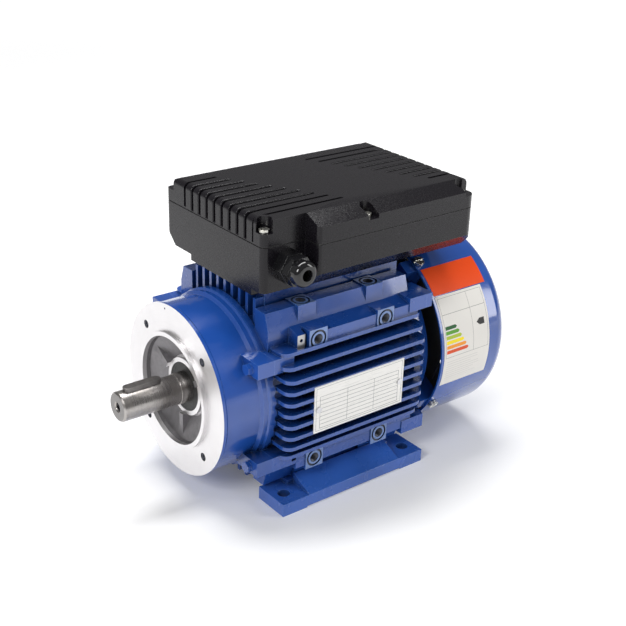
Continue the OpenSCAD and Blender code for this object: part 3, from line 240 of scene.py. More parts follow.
    def finish(self, **sockets: Value) -> bpy.types.Material:
        """Set the shader's inputs and hand back the material.

        Args:
            **sockets: Input names with underscores for spaces, and their values.

        Returns:
            The material.
        """
        for name, value in sockets.items():
            title = name.replace("_", " ").title().replace("Ior", "IOR")
            self.feed(self.shader.inputs[title], value)
        return self.material


# ---------------------------------------------------------------- Finishes


@dataclass(frozen=True)
class Enamel:
    """Glossy blue enamel over a casting or a pressed sheet."""

    name: str
    colour: Colour = (0.010, 0.066, 0.325)
    cast_depth: float = 0.00006
    gloss: float = 0.22
    # Lighter blue for the edges: partly worn paint, partly a painted highlight.
    rubbed_paint_and_highlight: Colour = (0.10, 0.22, 0.55)
    cloud_scale: float = 14.0
    peel_scale: float = 420.0
    peel_depth: float = 0.00005
    grain_scale: float = 1500.0
    edge_width: float = 0.0007
    crevice_shade_reach: float = 0.016

    def build(self) -> bpy.types.Material:
        """Build the material: cloudy colour, painted shade deep between walls, orange peel, sand-cast grain,
        and edges lightened as thinner paint and as a painted highlight.

        Returns:
            The material.
        """
        g = Graph(self.name)
        cloud = g.noise(self.cloud_scale, 3.0)
        deep = tuple(c * 0.80 for c in self.colour)
        light = tuple(min(1.0, c * 1.16 + 0.004) for c in self.colour)
        body = g.mix(g.spread(cloud, 0.0, 1.0), deep, light)
        # Edges turn a lighter blue: partly thinner paint, partly a painted highlight.
        thin_paint_and_highlight = g.math("MULTIPLY", g.edges(self.edge_width), g.spread(g.noise(260.0, 4.0), 0.15, 0.75))
        # Painted shade: the colour falls to 0.22 of itself deep between neighbouring walls, such as between
        # the fins.
        sunk = g.mix(g.crevice_shade(self.crevice_shade_reach), tuple(c * 0.22 for c in self.colour), body)
        colour = g.mix(thin_paint_and_highlight, sunk, self.rubbed_paint_and_highlight)
        peel = g.bump(g.noise(self.peel_scale, 1.0), self.peel_depth, 0.22)
        grain = g.bump(g.noise(self.grain_scale, 4.0, 0.65), self.cast_depth, 0.5, peel)
        rough = g.spread(g.noise(60.0, 4.0), self.gloss * 0.8, self.gloss * 1.5)
        return g.finish(base_color=colour, roughness=rough, normal=grain, specular_ior_level=0.5,
                        coat_weight=0.55, coat_roughness=0.05, coat_ior=1.55)


@dataclass(frozen=True)
class Machined:
    """Bare metal with the marks of the tool that cut it."""

    name: str
    colour: Colour = (0.80, 0.79, 0.79)
    turned: bool = True
    rough: tuple[float, float] = (0.24, 0.38)
    mark_scale: float = 2600.0
    metal: float = 1.0
    depth: float = 0.000012

    def build(self) -> bpy.types.Material:
        """Build the material: rings about the shaft axis, or straight strokes along it.

        Returns:
            The material.
        """
        g = Graph(self.name)
        along = g.radius() if self.turned else g.math("ADD", g.x, g.math("MULTIPLY", g.z, 0.35))
        marks = g.streaks(along, self.mark_scale)
        broad = g.streaks(along, self.mark_scale / 14.0)
        shade = g.math("ADD", g.math("MULTIPLY", marks, 0.6), g.math("MULTIPLY", broad, 0.4))
        dark = tuple(c * 0.86 for c in self.colour)
        cloudy = g.mix(g.spread(g.noise(45.0, 4.0), 0.0, 0.35), self.colour, dark)
        colour = g.mix(g.spread(shade, 0.0, 0.5), cloudy, dark)
        rough = g.math("ADD", g.spread(marks, *self.rough), g.spread(g.noise(90.0, 5.0), 0.0, 0.06))
        normal = g.bump(marks, self.depth, 0.6)
        return g.finish(base_color=colour, roughness=rough, normal=normal, metallic=self.metal)


@dataclass(frozen=True)
class ShaftSteel:
    """Ground and turned steel of the shaft."""

    name: str
    colour: Colour = (0.44, 0.42, 0.405)
    bloom_colour: Colour = (0.34, 0.30, 0.265)
    ring_scale: float = 3400.0
    broad_scale: float = 240.0
    ring_depth: float = 0.000016

    def build(self) -> bpy.types.Material:
        """Build the material: fine rings along the shaft and a faint brown bloom.

        Returns:
            The material.
        """
        g = Graph(self.name)
        rings = g.streaks(g.x, self.ring_scale)
        broad = g.streaks(g.x, self.broad_scale)
        bloom = g.spread(g.noise(70.0, 6.0, 0.6), 0.0, 0.55, 0.5, 0.78)
        steel = g.mix(g.spread(broad, 0.0, 0.45), self.colour, tuple(c * 0.74 for c in self.colour))
        colour = g.mix(bloom, steel, self.bloom_colour)
        rough = g.math("ADD", g.spread(rings, 0.20, 0.36), g.math("MULTIPLY", bloom, 0.18))
        normal = g.bump(rings, self.ring_depth, 0.7)
        return g.finish(base_color=colour, roughness=rough, normal=normal, metallic=1.0,
                        anisotropic=0.35)


@dataclass(frozen=True)
class RawCasting:
    """Unpainted die-cast aluminium."""

    name: str
    colour: Colour = (0.43, 0.42, 0.43)
    pit_scale: float = 900.0
    pit_depth: float = 0.00012

    def build(self) -> bpy.types.Material:
        """Build the material: grainy grey skin with darker flow marks.

        Returns:
            The material.
        """
        g = Graph(self.name)
        flow = g.spread(g.noise(38.0, 5.0, 0.6, (1.0, 1.6, 0.7)), 0.0, 1.0)
        colour = g.mix(flow, tuple(c * 0.72 for c in self.colour), self.colour)
        normal = g.bump(g.noise(self.pit_scale, 5.0, 0.7), self.pit_depth, 0.7)
        rough = g.spread(g.noise(300.0, 3.0), 0.42, 0.62)
        return g.finish(base_color=colour, roughness=rough, normal=normal, metallic=0.85)


@dataclass(frozen=True)
class Moulding:
    """Moulded plastic or rubber with a fine spark-eroded grain."""

    name: str
    colour: Colour = (0.016, 0.015, 0.017)
    rough: tuple[float, float] = (0.36, 0.50)
    grain: float = 0.00004
    grain_scale: float = 2600.0
    rub: float = 0.35
    shine: float = 0.5

    def build(self) -> bpy.types.Material:
        """Build the material: grain, handling smudges and slightly rubbed edges.

        Returns:
            The material.
        """
        g = Graph(self.name)
        smudge = g.spread(g.noise(24.0, 5.0, 0.6), 0.0, 1.0)
        lighter = tuple(min(1.0, c * 1.22 + 0.001) for c in self.colour)
        body = g.mix(g.math("MULTIPLY", smudge, 0.6), self.colour, lighter)
        edge = g.math("MULTIPLY", g.edges(0.0006), g.spread(g.noise(320.0, 4.0), 0.1, self.rub))
        colour = g.mix(edge, body, tuple(min(1.0, c * 2.2 + 0.05) for c in self.colour))
        normal = g.bump(g.noise(self.grain_scale, 3.0, 0.6), self.grain, 0.55)
        dull = g.spread(g.noise(700.0, 2.0), *self.rough)
        rough = g.math("ADD", dull, g.math("MULTIPLY", smudge, -0.05))
        return g.finish(base_color=colour, roughness=rough, normal=normal, specular_ior_level=self.shine)


@dataclass(frozen=True)
class Plated:
    """Zinc-plated, stamped or cast small metal parts."""

    name: str
    colour: Colour = (0.66, 0.66, 0.64)
    rough: tuple[float, float] = (0.18, 0.36)
    tint: Colour = (0.60, 0.58, 0.50)
    metal: float = 1.0

    def build(self) -> bpy.types.Material:
        """Build the material: speckled plating with a faint tint and scratches.

        Returns:
            The material.
        """
        g = Graph(self.name)
        patch = g.spread(g.noise(220.0, 4.0), 0.0, 0.8)
        scratch = g.spread(g.noise(900.0, 2.0, 0.5, (1.0, 9.0, 1.0)), 0.0, 1.0, 0.62, 0.72)
        colour = g.mix(patch, self.colour, self.tint)
        rough = g.math("ADD", g.spread(g.noise(500.0, 4.0), *self.rough), g.math("MULTIPLY", scratch, 0.12))
        normal = g.bump(g.noise(1800.0, 3.0), 0.00003, 0.35)
        return g.finish(base_color=colour, roughness=rough, normal=normal, metallic=self.metal)


@dataclass(frozen=True)
class Laminated:
    """A stack of punched sheets, seen as fine lines across the shaft's direction."""

    name: str
    colour: Colour = (0.23, 0.23, 0.24)
    pitch: float = 0.0005
    rust: Colour = (0.21, 0.13, 0.09)
    gap: Colour = (0.08, 0.08, 0.085)

    def build(self) -> bpy.types.Material:
        """Build the material: one line for each sheet, with rusty clouds.

        Returns:
            The material.
        """
        g = Graph(self.name)
        wave = g.math("SINE", g.math("MULTIPLY", g.x, 2.0 * math.pi / self.pitch))
        rusty = g.spread(g.noise(80.0, 6.0), 0.0, 0.5, 0.5, 0.8)
        colour = g.mix(rusty, self.colour, self.rust)
        lined = g.mix(g.spread(wave, 0.0, 0.5, -1.0, 1.0), colour, self.gap)
        return g.finish(base_color=lined, roughness=g.spread(g.noise(400.0), 0.38, 0.58), metallic=0.9,
                        normal=g.bump(wave, 0.00006, 0.5))


@dataclass(frozen=True)
class WireBundle:
    """Enamelled wires that run round a bundle."""

    name: str
    colour: Colour = (0.50, 0.17, 0.06)
    wire: float = 0.0009

    def build(self) -> bpy.types.Material:
        """Build the material: round wires side by side under varnish, each painted darker towards its sides
        as shade between the wires.

        Returns:
            The material.
        """
        g = Graph(self.name)
        drift = g.math("MULTIPLY", g.noise(90.0, 3.0), 0.004)
        lay = g.math("ADD", g.math("ADD", g.radius(), g.math("MULTIPLY", g.x, 0.6)), drift)
        round_wire = g.math("ABSOLUTE", g.math("SINE", g.math("MULTIPLY", lay, math.pi / self.wire)))
        # Painted shade: each wire darkens to 0.3 of its colour towards its sides, where it meets the next.
        colour = g.mix(round_wire, tuple(c * 0.3 for c in self.colour), self.colour)
        varnish = g.spread(g.noise(120.0, 3.0), 0.18, 0.42)
        return g.finish(base_color=colour, roughness=varnish, metallic=0.7,
                        normal=g.bump(round_wire, 0.0003, 0.8), coat_weight=0.4, coat_roughness=0.15)


@dataclass(frozen=True)
class NameplatePrint:
    """A pale metal plate with ruled fields and no lettering."""

    name: str
    low: Vector
    high: Vector
    ground: Colour = (0.80, 0.79, 0.76)
    ink: Colour = (0.10, 0.105, 0.11)
    rows: int = 8
    columns: tuple[float, ...] = (0.06, 0.36, 0.66, 0.94)
    head: float = 0.76
    foot: float = 0.08
    rule: float = 0.42 * MM

    def build(self) -> bpy.types.Material:
        """Build the material: a border, a head line, and ruled fields in two columns.

        Returns:
            The material.
        """
        g = Graph(self.name)
        width, height = self.high.x - self.low.x, self.high.z - self.low.z
        across = g.math("DIVIDE", g.math("SUBTRACT", self.high.x, g.x), width)
        up = g.math("DIVIDE", g.math("SUBTRACT", g.z, self.low.z), height)
        pitch = (self.head - self.foot) / self.rows
        cell = g.math("FRACT", g.math("DIVIDE", g.math("SUBTRACT", up, self.foot), pitch))
        rules = g.band(cell, 0.0, self.rule / height / pitch)
        span = g.band(across, self.columns[0], self.columns[-1])
        table = g.math("MULTIPLY", g.band(up, self.foot, self.head + 0.01), span)
        lines = g.math("MULTIPLY", rules, table)
        half, rise = self.rule / width / 2, g.band(up, self.foot, self.head)
        for column in self.columns:
            post = g.math("MULTIPLY", g.band(across, column - half, column + half), rise)
            lines = g.math("MAXIMUM", lines, post)
        rim = g.math("MULTIPLY", g.band(across, 0.018, 0.982), g.band(up, 0.04, 0.96))
        inner = g.math("MULTIPLY", g.band(across, 0.022, 0.978), g.band(up, 0.049, 0.951))
        lines = g.math("MAXIMUM", lines, g.math("SUBTRACT", rim, inner))
        worn = g.math("MULTIPLY", lines, g.spread(g.noise(600.0, 4.0), 0.65, 1.0))
        front = g.math("GREATER_THAN", g.y, self.low.y + 0.5 * (self.high.y - self.low.y))
        dull = tuple(c * 0.93 for c in self.ground)
        ground = g.mix(g.spread(g.noise(35.0, 4.0), 0.0, 0.5), self.ground, dull)
        colour = g.mix(g.math("MULTIPLY", worn, front), ground, self.ink)
        brushed = g.noise(1400.0, 2.0, 0.5, (0.05, 1.0, 1.0))
        return g.finish(base_color=colour, roughness=g.spread(brushed, 0.26, 0.36), metallic=0.15,
                        normal=g.bump(brushed, 0.00001, 0.4))


@dataclass(frozen=True)
class ClassLabelPrint:
    """A white film with a generic stepped bar chart and ruled lines, and no lettering."""

    name: str
    low: Vector
    high: Vector
    top_angle: float
    bottom_angle: float
    paper: Colour = (0.72, 0.70, 0.66)
    step: float = 0.052
    bar_half: float = 0.019
    first_bar: float = 0.655
    columns: tuple[float, ...] = (0.64, 0.035, 0.965)
    cell_rows: tuple[float, ...] = (0.33, 0.97)
    fine_rows: float = 36.0
    bars: tuple[Colour, ...] = (
        (0.012, 0.095, 0.022), (0.10, 0.32, 0.03), (0.40, 0.50, 0.04),
        (0.86, 0.68, 0.02), (0.82, 0.30, 0.03), (0.66, 0.08, 0.02),
    )

    def build(self) -> bpy.types.Material:
        """Build the material: coloured steps on the left, a dark pointer on the right, fine lines below.

        Returns:
            The material.
        """
        g = Graph(self.name)
        across = g.math("DIVIDE", g.math("SUBTRACT", self.high.x, g.x), self.high.x - self.low.x)
        angle = g.math("ARCTAN2", g.z, g.y)
        span = self.top_angle - self.bottom_angle
        up = g.math("DIVIDE", g.math("SUBTRACT", angle, self.bottom_angle), span)
        colour = self.chart(g, up, across)
        colour = g.mix(g.math("MULTIPLY", self.cells(g, up, across), 0.8), colour, (0.12, 0.12, 0.12))
        colour = g.mix(g.math("MULTIPLY", self.fine_lines(g, up, across), 0.35), colour, (0.3, 0.3, 0.3))
        film = g.noise(160.0, 3.0)
        return g.finish(base_color=colour, roughness=g.spread(film, 0.36, 0.46),
                        normal=g.bump(film, 0.00006, 0.25), specular_ior_level=0.25)

    def chart(self, g: Graph, up: Value, across: Value) -> Value:
        """Draw the stepped bars and the pointer on the paper.

        Args:
            g: The material's node tree.
            up: Height on the label, 0 to 1.
            across: Way from the label's left edge, 0 to 1.

        Returns:
            The colour.
        """
        colour: Value = self.paper
        for i, paint in enumerate(self.bars):
            off = g.math("ABSOLUTE", g.math("SUBTRACT", up, self.first_bar - i * self.step))
            reach = g.math("SUBTRACT", 0.30 + 0.045 * i, g.math("MULTIPLY", off, 1.6))
            shape = g.math("MULTIPLY", g.math("LESS_THAN", off, self.bar_half), g.band(across, 0.05, reach))
            colour = g.mix(shape, colour, paint)
        off = g.math("ABSOLUTE", g.math("SUBTRACT", up, self.first_bar - 0.6 * self.step))
        back = g.math("ADD", 0.73, g.math("MULTIPLY", off, 1.8))
        shape = g.math("MULTIPLY", g.math("LESS_THAN", off, 0.036), g.band(across, back, 0.90))
        return g.mix(shape, colour, (0.02, 0.02, 0.02))

    def cells(self, g: Graph, up: Value, across: Value) -> bpy.types.NodeSocket:
        """Rule the frame and the cells round the chart.

        Args:
            g: The material's node tree.
            up: Height on the label, 0 to 1.
            across: Way from the label's left edge, 0 to 1.

        Returns:
            1 on a line and 0 off it.
        """
        lines = g.math("MULTIPLY", g.band(up, 0.795, 0.80), g.band(across, 0.04, 0.96))
        for at in self.columns:
            post = g.math("MULTIPLY", g.band(across, at - 0.003, at + 0.003), g.band(up, *self.cell_rows))
            lines = g.math("MAXIMUM", lines, post)
        for at in self.cell_rows:
            rule = g.math("MULTIPLY", g.band(up, at, at + 0.004), g.band(across, *self.columns[1:]))
            lines = g.math("MAXIMUM", lines, rule)
        return lines

    def fine_lines(self, g: Graph, up: Value, across: Value) -> bpy.types.NodeSocket:
        """Rule the ragged fine lines below the chart.

        Args:
            g: The material's node tree.
            up: Height on the label, 0 to 1.
            across: Way from the label's left edge, 0 to 1.

        Returns:
            1 on a line and 0 off it.
        """
        row = g.math("MULTIPLY", up, self.fine_rows)
        lines = g.math("MULTIPLY", g.band(g.math("FRACT", row), 0.0, 0.22), g.band(up, 0.06, 0.30))
        ends = g.spread(g.streaks(g.math("FLOOR", row), 7.3), 0.55, 0.94)
        return g.math("MULTIPLY", lines, g.band(across, 0.06, ends))


@dataclass(frozen=True)
class PaperFloor:
    """Seamless pale paper under the motor."""

    name: str = "floor_paper"

    def build(self) -> bpy.types.Material:
        """Build the material: nearly white and dull, with painted light: it glows, faintly near the middle
        and more further out, and so also lights the motor from below.

        Returns:
            The material.
        """
        g = Graph(self.name)
        colour = g.mix(g.noise(3.0, 2.0), (0.90, 0.90, 0.905), (0.915, 0.915, 0.92))
        away = g.node("ShaderNodeVectorMath", {0: g.place}, operation="LENGTH").outputs["Value"]
        # Painted light: the floor glows from 0.10 near the middle to 0.80 far out.
        glow = g.spread(away, 0.10, 0.80, 0.3, 2.4)
        return g.finish(base_color=colour, roughness=0.9, specular_ior_level=0.1,
                        emission_color=(1.0, 1.0, 1.0), emission_strength=glow)


class Finish(Enum):
    """Every finish that the motor's own pieces wear, by the name of its material."""

    CASTING_PAINT = Enamel("casting_enamel")
    SHIELD_PAINT = Enamel("shield_enamel", cast_depth=0.00004, gloss=0.17)
    COWL_PAINT = Enamel("cowl_enamel", cast_depth=0.00001, gloss=0.13)
    # A lighter copy of the casting enamel for the feet: painted light.
    FOOT_PAINT = Enamel("foot_lit_enamel", colour=(0.030, 0.115, 0.46))
    # Lighter blue for the milled pad faces: partly rubbed paint, partly a painted reflection.
    PAD_PAINT = Enamel("pad_sheen_enamel", (0.13, 0.22, 0.47), 0.00001, 0.3)
    # Near-black enamel for the pad grooves: painted shade, with some dirt.
    GROOVE_PAINT = Enamel("groove_shade_enamel", (0.003, 0.009, 0.04), 0.00001, 0.4)
    TURNED_FACE = Machined("turned_flange_face", (0.80, 0.785, 0.79), True, (0.26, 0.40), 2200.0)
    # Bare thread metal darkened to 0.10: painted shade inside the holes.
    TAPPED = Machined("shaded_tapped_hole", (0.10, 0.105, 0.125), False, (0.3, 0.46), 1800.0, 0.9)
    # Raw casting darkened from its own 0.43 grey to 0.29: painted shade in the recess.
    RAW_CASTING = RawCasting("shaded_raw_casting", (0.29, 0.28, 0.29))
    BARE_SEAT = Machined("bare_earth_seat", (0.50, 0.50, 0.50), False, (0.3, 0.44), 2600.0, 0.9)
    SHAFT = ShaftSteel("turned_shaft_steel")
    # Darker steel than the shaft's own: painted shade on the shaft's end face.
    SHAFT_END = Machined("shaded_faced_shaft_end", (0.27, 0.26, 0.255), True, (0.34, 0.48), 3000.0)
    KEY = Plated("drawn_key_steel", (0.23, 0.22, 0.215), (0.30, 0.46), (0.16, 0.15, 0.145))
    ZINC = Plated("zinc_plated_screw")
    GROUND = Machined("ground_bearing_steel", (0.62, 0.62, 0.63), True, (0.08, 0.16), 5200.0)
    STAMPED = Plated("stamped_steel", (0.42, 0.42, 0.43), (0.28, 0.46), (0.34, 0.33, 0.31))
    SPRING = Plated("spring_steel", (0.30, 0.30, 0.32), (0.22, 0.34), (0.22, 0.22, 0.28))
    BRASS = Plated("turned_brass", (0.78, 0.53, 0.20), (0.16, 0.32), (0.62, 0.40, 0.15))
    BRONZE = Plated("spring_bronze", (0.70, 0.40, 0.16), (0.20, 0.34), (0.52, 0.28, 0.12))
    CAST_CAGE = Plated("cast_cage_aluminium", (0.70, 0.70, 0.71), (0.34, 0.52), (0.58, 0.58, 0.60))
    CORE = Laminated("core_sheets")
    MAIN_WIRE = WireBundle("main_winding_wire")
    START_WIRE = WireBundle("start_winding_wire", (0.34, 0.09, 0.04), 0.0007)
    SLEEVE = Moulding("lead_sleeve", (0.32, 0.02, 0.015), (0.5, 0.7), 0.00008, 1600.0, 0.1)
    BOARD = Moulding("insulating_board", (0.56, 0.45, 0.26), (0.5, 0.7), 0.00006, 1200.0, 0.2)
    LAMINATE = Moulding("switch_laminate", (0.30, 0.17, 0.07), (0.35, 0.5), 0.00003, 1500.0, 0.2)
    NYLON = Moulding("nylon_collar", (0.72, 0.70, 0.60), (0.32, 0.46), 0.00003, 1500.0, 0.1)
    BOX = Moulding("box_plastic", (0.0060, 0.0052, 0.0072), (0.22, 0.34), shine=0.3)
    FAN = Moulding("fan_plastic", (0.02, 0.02, 0.022), (0.42, 0.58))
    GLAND = Moulding("gland_plastic", (0.007, 0.007, 0.008), (0.05, 0.10), 0.000004, shine=0.6)
    RUBBER = Moulding("seal_rubber", (0.010, 0.010, 0.010), (0.44, 0.6), 0.00005, 1400.0, 0.12)
    CAN_BLACK = Moulding("start_capacitor_case", (0.012, 0.012, 0.014), (0.14, 0.24), 0.00002, 900.0)
    CAN_WHITE = Moulding("run_capacitor_case", (0.72, 0.72, 0.69), (0.20, 0.32), 0.00002, 900.0, 0.1)
    TERMINAL = Moulding("terminal_board_plastic", (0.17, 0.05, 0.02), (0.3, 0.45), 0.00004, 1600.0)
    ORANGE = Moulding("orange_film", (0.70, 0.062, 0.006), (0.40, 0.50), 0.00003, 260.0, 0.0, 0.2)

    def material(self) -> bpy.types.Material:
        """Return this finish's material, made on first use."""
        known = bpy.data.materials.get(f"{self.value.name}_finish")
        return known or self.value.build()


# ---------------------------------------------------------------- Shape helpers


def alone(piece: bpy.types.Object) -> None:
    """Select one object only and make it active.

    Args:
        piece: The object.
    """
    bpy.ops.object.select_all(action="DESELECT")
    piece.select_set(True)
    bpy.context.view_layer.objects.active = piece


def apply_all(piece: bpy.types.Object) -> None:
    """Apply every modifier of a piece, in order.

    Args:
        piece: The piece.
    """
    alone(piece)
    for modifier in list(piece.modifiers):
        bpy.ops.object.modifier_apply(modifier=modifier.name)


def settle(piece: bpy.types.Object, angle: float = 35.0) -> bpy.types.Object:
    """Move a piece's place into its mesh and shade it smooth.

    Args:
        piece: The finished piece.
        angle: Edges sharper than this many degrees stay sharp.

    Returns:
        The piece.
    """
    alone(piece)
    bpy.ops.object.transform_apply(location=True, rotation=True, scale=True)
    bpy.ops.object.shade_smooth_by_angle(angle=math.radians(angle))
    return piece


def enlist(piece: bpy.types.Object, body: str, slot: str, *nodes: str) -> bpy.types.Object:
    """Hang a new piece on the body that it moves with, hide the CAD nodes that it stands for, and log its
    material slot.

    Args:
        piece: The finished piece.
        body: The body that it moves with.
        slot: The record's material slot that it belongs to.
        *nodes: CAD nodes that it is shown in place of.

    Returns:
        The piece.
    """
    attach(piece, body)
    if nodes:
        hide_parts(*nodes)
    faces = len(piece.data.polygons)
    LOG.info("piece %s: body %s, slot %s, %d faces", piece.name, body, slot, faces)
    return piece


@dataclass(frozen=True)
class Rounding:
    """Edges that are rounded wider than the rest of their piece."""

    test: EdgeTest
    width: float
    segments: int
    held_back: bool

    def apply(self, piece: bpy.types.Object) -> None:
        """Round the sharp outward edges of a piece whose two ends pass the test.

        Args:
            piece: The piece, its doubles merged.
        """
        alone(piece)
        bpy.ops.object.mode_set(mode="EDIT")
        bpy.ops.mesh.select_mode(type="EDGE")
        bpy.ops.mesh.select_all(action="DESELECT")
        shape = bmesh.from_edit_mesh(piece.data)
        for edge in shape.edges:
            sharp = edge.is_manifold and edge.is_convex and edge.calc_face_angle(0.0) > math.radians(40)
            edge.select = sharp and all(self.test(vertex.co) for vertex in edge.verts)
        LOG.info("%s: %d edges rounded", piece.name, sum(edge.select for edge in shape.edges))
        bmesh.update_edit_mesh(piece.data)
        bpy.ops.mesh.bevel(offset=self.width, segments=self.segments, profile=0.5,
                           clamp_overlap=self.held_back)
        bpy.ops.object.mode_set(mode="OBJECT")


def eased(node: str, width: float, finishes: Sequence[tuple[Finish, Optional[FaceTest]]],
          segments: int = 2, angle: float = 30.0,
          rounds: Sequence[Rounding] = ()) -> bpy.types.Object:
    """Show a CAD node as a copy whose sharp edges are eased and whose faces wear their own finishes.

    Args:
        node: Name of the CAD node.
        width: Width of the eased edge.
        finishes: The finishes, each with a test on a face's centre and normal. The first has no test.
        segments: Facets across an eased edge.
        angle: Edges sharper than this many degrees are eased.
        rounds: Edges to round wider first.

    Returns:
        The new piece, which stands for the node.
    """
    piece = bpy.data.objects.new(f"{node}_eased", frame["nodes"][node].data.copy())
    bpy.context.collection.objects.link(piece)
    alone(piece)
    bpy.ops.object.mode_set(mode="EDIT")
    bpy.ops.mesh.select_all(action="SELECT")
    bpy.ops.mesh.remove_doubles(threshold=0.001 * MM)
    bpy.ops.mesh.dissolve_limited(angle_limit=math.radians(0.3))
    bpy.ops.object.mode_set(mode="OBJECT")
    piece.data.materials.clear()
    for finish, _ in finishes:
        piece.data.materials.append(finish.material())
    for face in piece.data.polygons:
        face.material_index = 0
        for index, (_, test) in enumerate(finishes[1:], start=1):
            if test and test(face.center, face.normal):
                face.material_index = index
    for rounding in rounds:
        rounding.apply(piece)
    bpy.ops.object.shade_smooth()
    ease = piece.modifiers.new("ease", "BEVEL")
    ease.width, ease.segments = width, segments
    ease.limit_method, ease.angle_limit = "ANGLE", math.radians(angle)
    ease.material = -1
    level = piece.modifiers.new("level", "WEIGHTED_NORMAL")
    level.mode, level.keep_sharp, level.weight = "FACE_AREA", True, 60
    apply_all(piece)
    return enlist(piece, BODY_OF[node], SLOT_OF[node], node)


def dress(node: str, finish: Union[Finish, bpy.types.Material]) -> None:
    """Give a CAD node that is shown as it is its finish.

    Args:
        node: Name of the CAD node.
        finish: The finish, or a ready material.
    """
    material = finish.material() if isinstance(finish, Finish) else finish
    for slot in frame["nodes"][node].material_slots:
        slot.material = material
    LOG.info("node %s: %s", node, material.name)


def from_axis(point: Vector) -> float:
    """Return a point's distance from the shaft axis."""
    return math.hypot(point.y, point.z)


# ---------------------------------------------------------------- Sub-assemblies


@dataclass
class Tapping:
    """Cut thread inside a hole, modelled once and set into each hole as its own piece."""

    name: str
    radius: float
    length: float
    pitch: float
    body: str
    slot: str
    around: int = 32
    count: int = 0
    shape: Optional[bpy.types.Mesh] = None

    def model(self) -> bpy.types.Mesh:
        """Model the thread down local -Z: a ridged inner wall closed by a plain outer one.

        Returns:
            The mesh, to be copied into each hole.
        """
        bpy.ops.object.select_all(action="DESELECT")
        bpy.ops.mesh.primitive_circle_add(vertices=self.around, radius=self.radius)
        piece = bpy.context.active_object
        bpy.ops.object.mode_set(mode="EDIT")
        bpy.ops.mesh.select_all(action="SELECT")
        crest = 1.0 - 0.55 * self.pitch / self.radius
        turns = int(self.length / self.pitch)
        for step in range(2 * turns):
            self.ring(-self.pitch / 2, crest if step % 2 == 0 else 1.0 / crest)
        self.ring(0.0, 1.012)
        self.ring(turns * self.pitch, 1.0)
        self.ring(0.0, 1.0 / 1.012)
        bpy.ops.mesh.select_all(action="SELECT")
        bpy.ops.mesh.remove_doubles(threshold=0.002 * MM)
        bpy.ops.mesh.normals_make_consistent(inside=False)
        bpy.ops.object.mode_set(mode="OBJECT")
        # The thread wears darkened metal: painted shade inside the hole.
        piece.data.materials.append(Finish.TAPPED.material())
        shape = piece.data
        bpy.data.objects.remove(piece)
        return shape

    def ring(self, rise: float, grow: float) -> None:
        """Extrude the open edge by one ring.

        Args:
            rise: Travel along Z.
            grow: Factor on the radius.
        """
        bpy.ops.mesh.extrude_edges_indiv()
        bpy.ops.transform.translate(value=(0.0, 0.0, rise))
        bpy.ops.transform.resize(value=(grow, grow, 1.0), center_override=(0.0, 0.0, 0.0))

    def set_in(self, mouth: Vector, outward: Vector) -> None:
        """Set one thread into a hole.

        Args:
            mouth: Centre of the hole's mouth.
            outward: Direction that the hole opens to.
        """
        self.shape = self.shape or self.model()
        self.count += 1
        piece = bpy.data.objects.new(f"{self.name}_{self.count}", self.shape.copy())
        bpy.context.collection.objects.link(piece)
        piece.location = mouth
        piece.rotation_euler = outward.to_track_quat("Z", "Y").to_euler()
        settle(piece, 20.0)
        enlist(piece, self.body, self.slot)


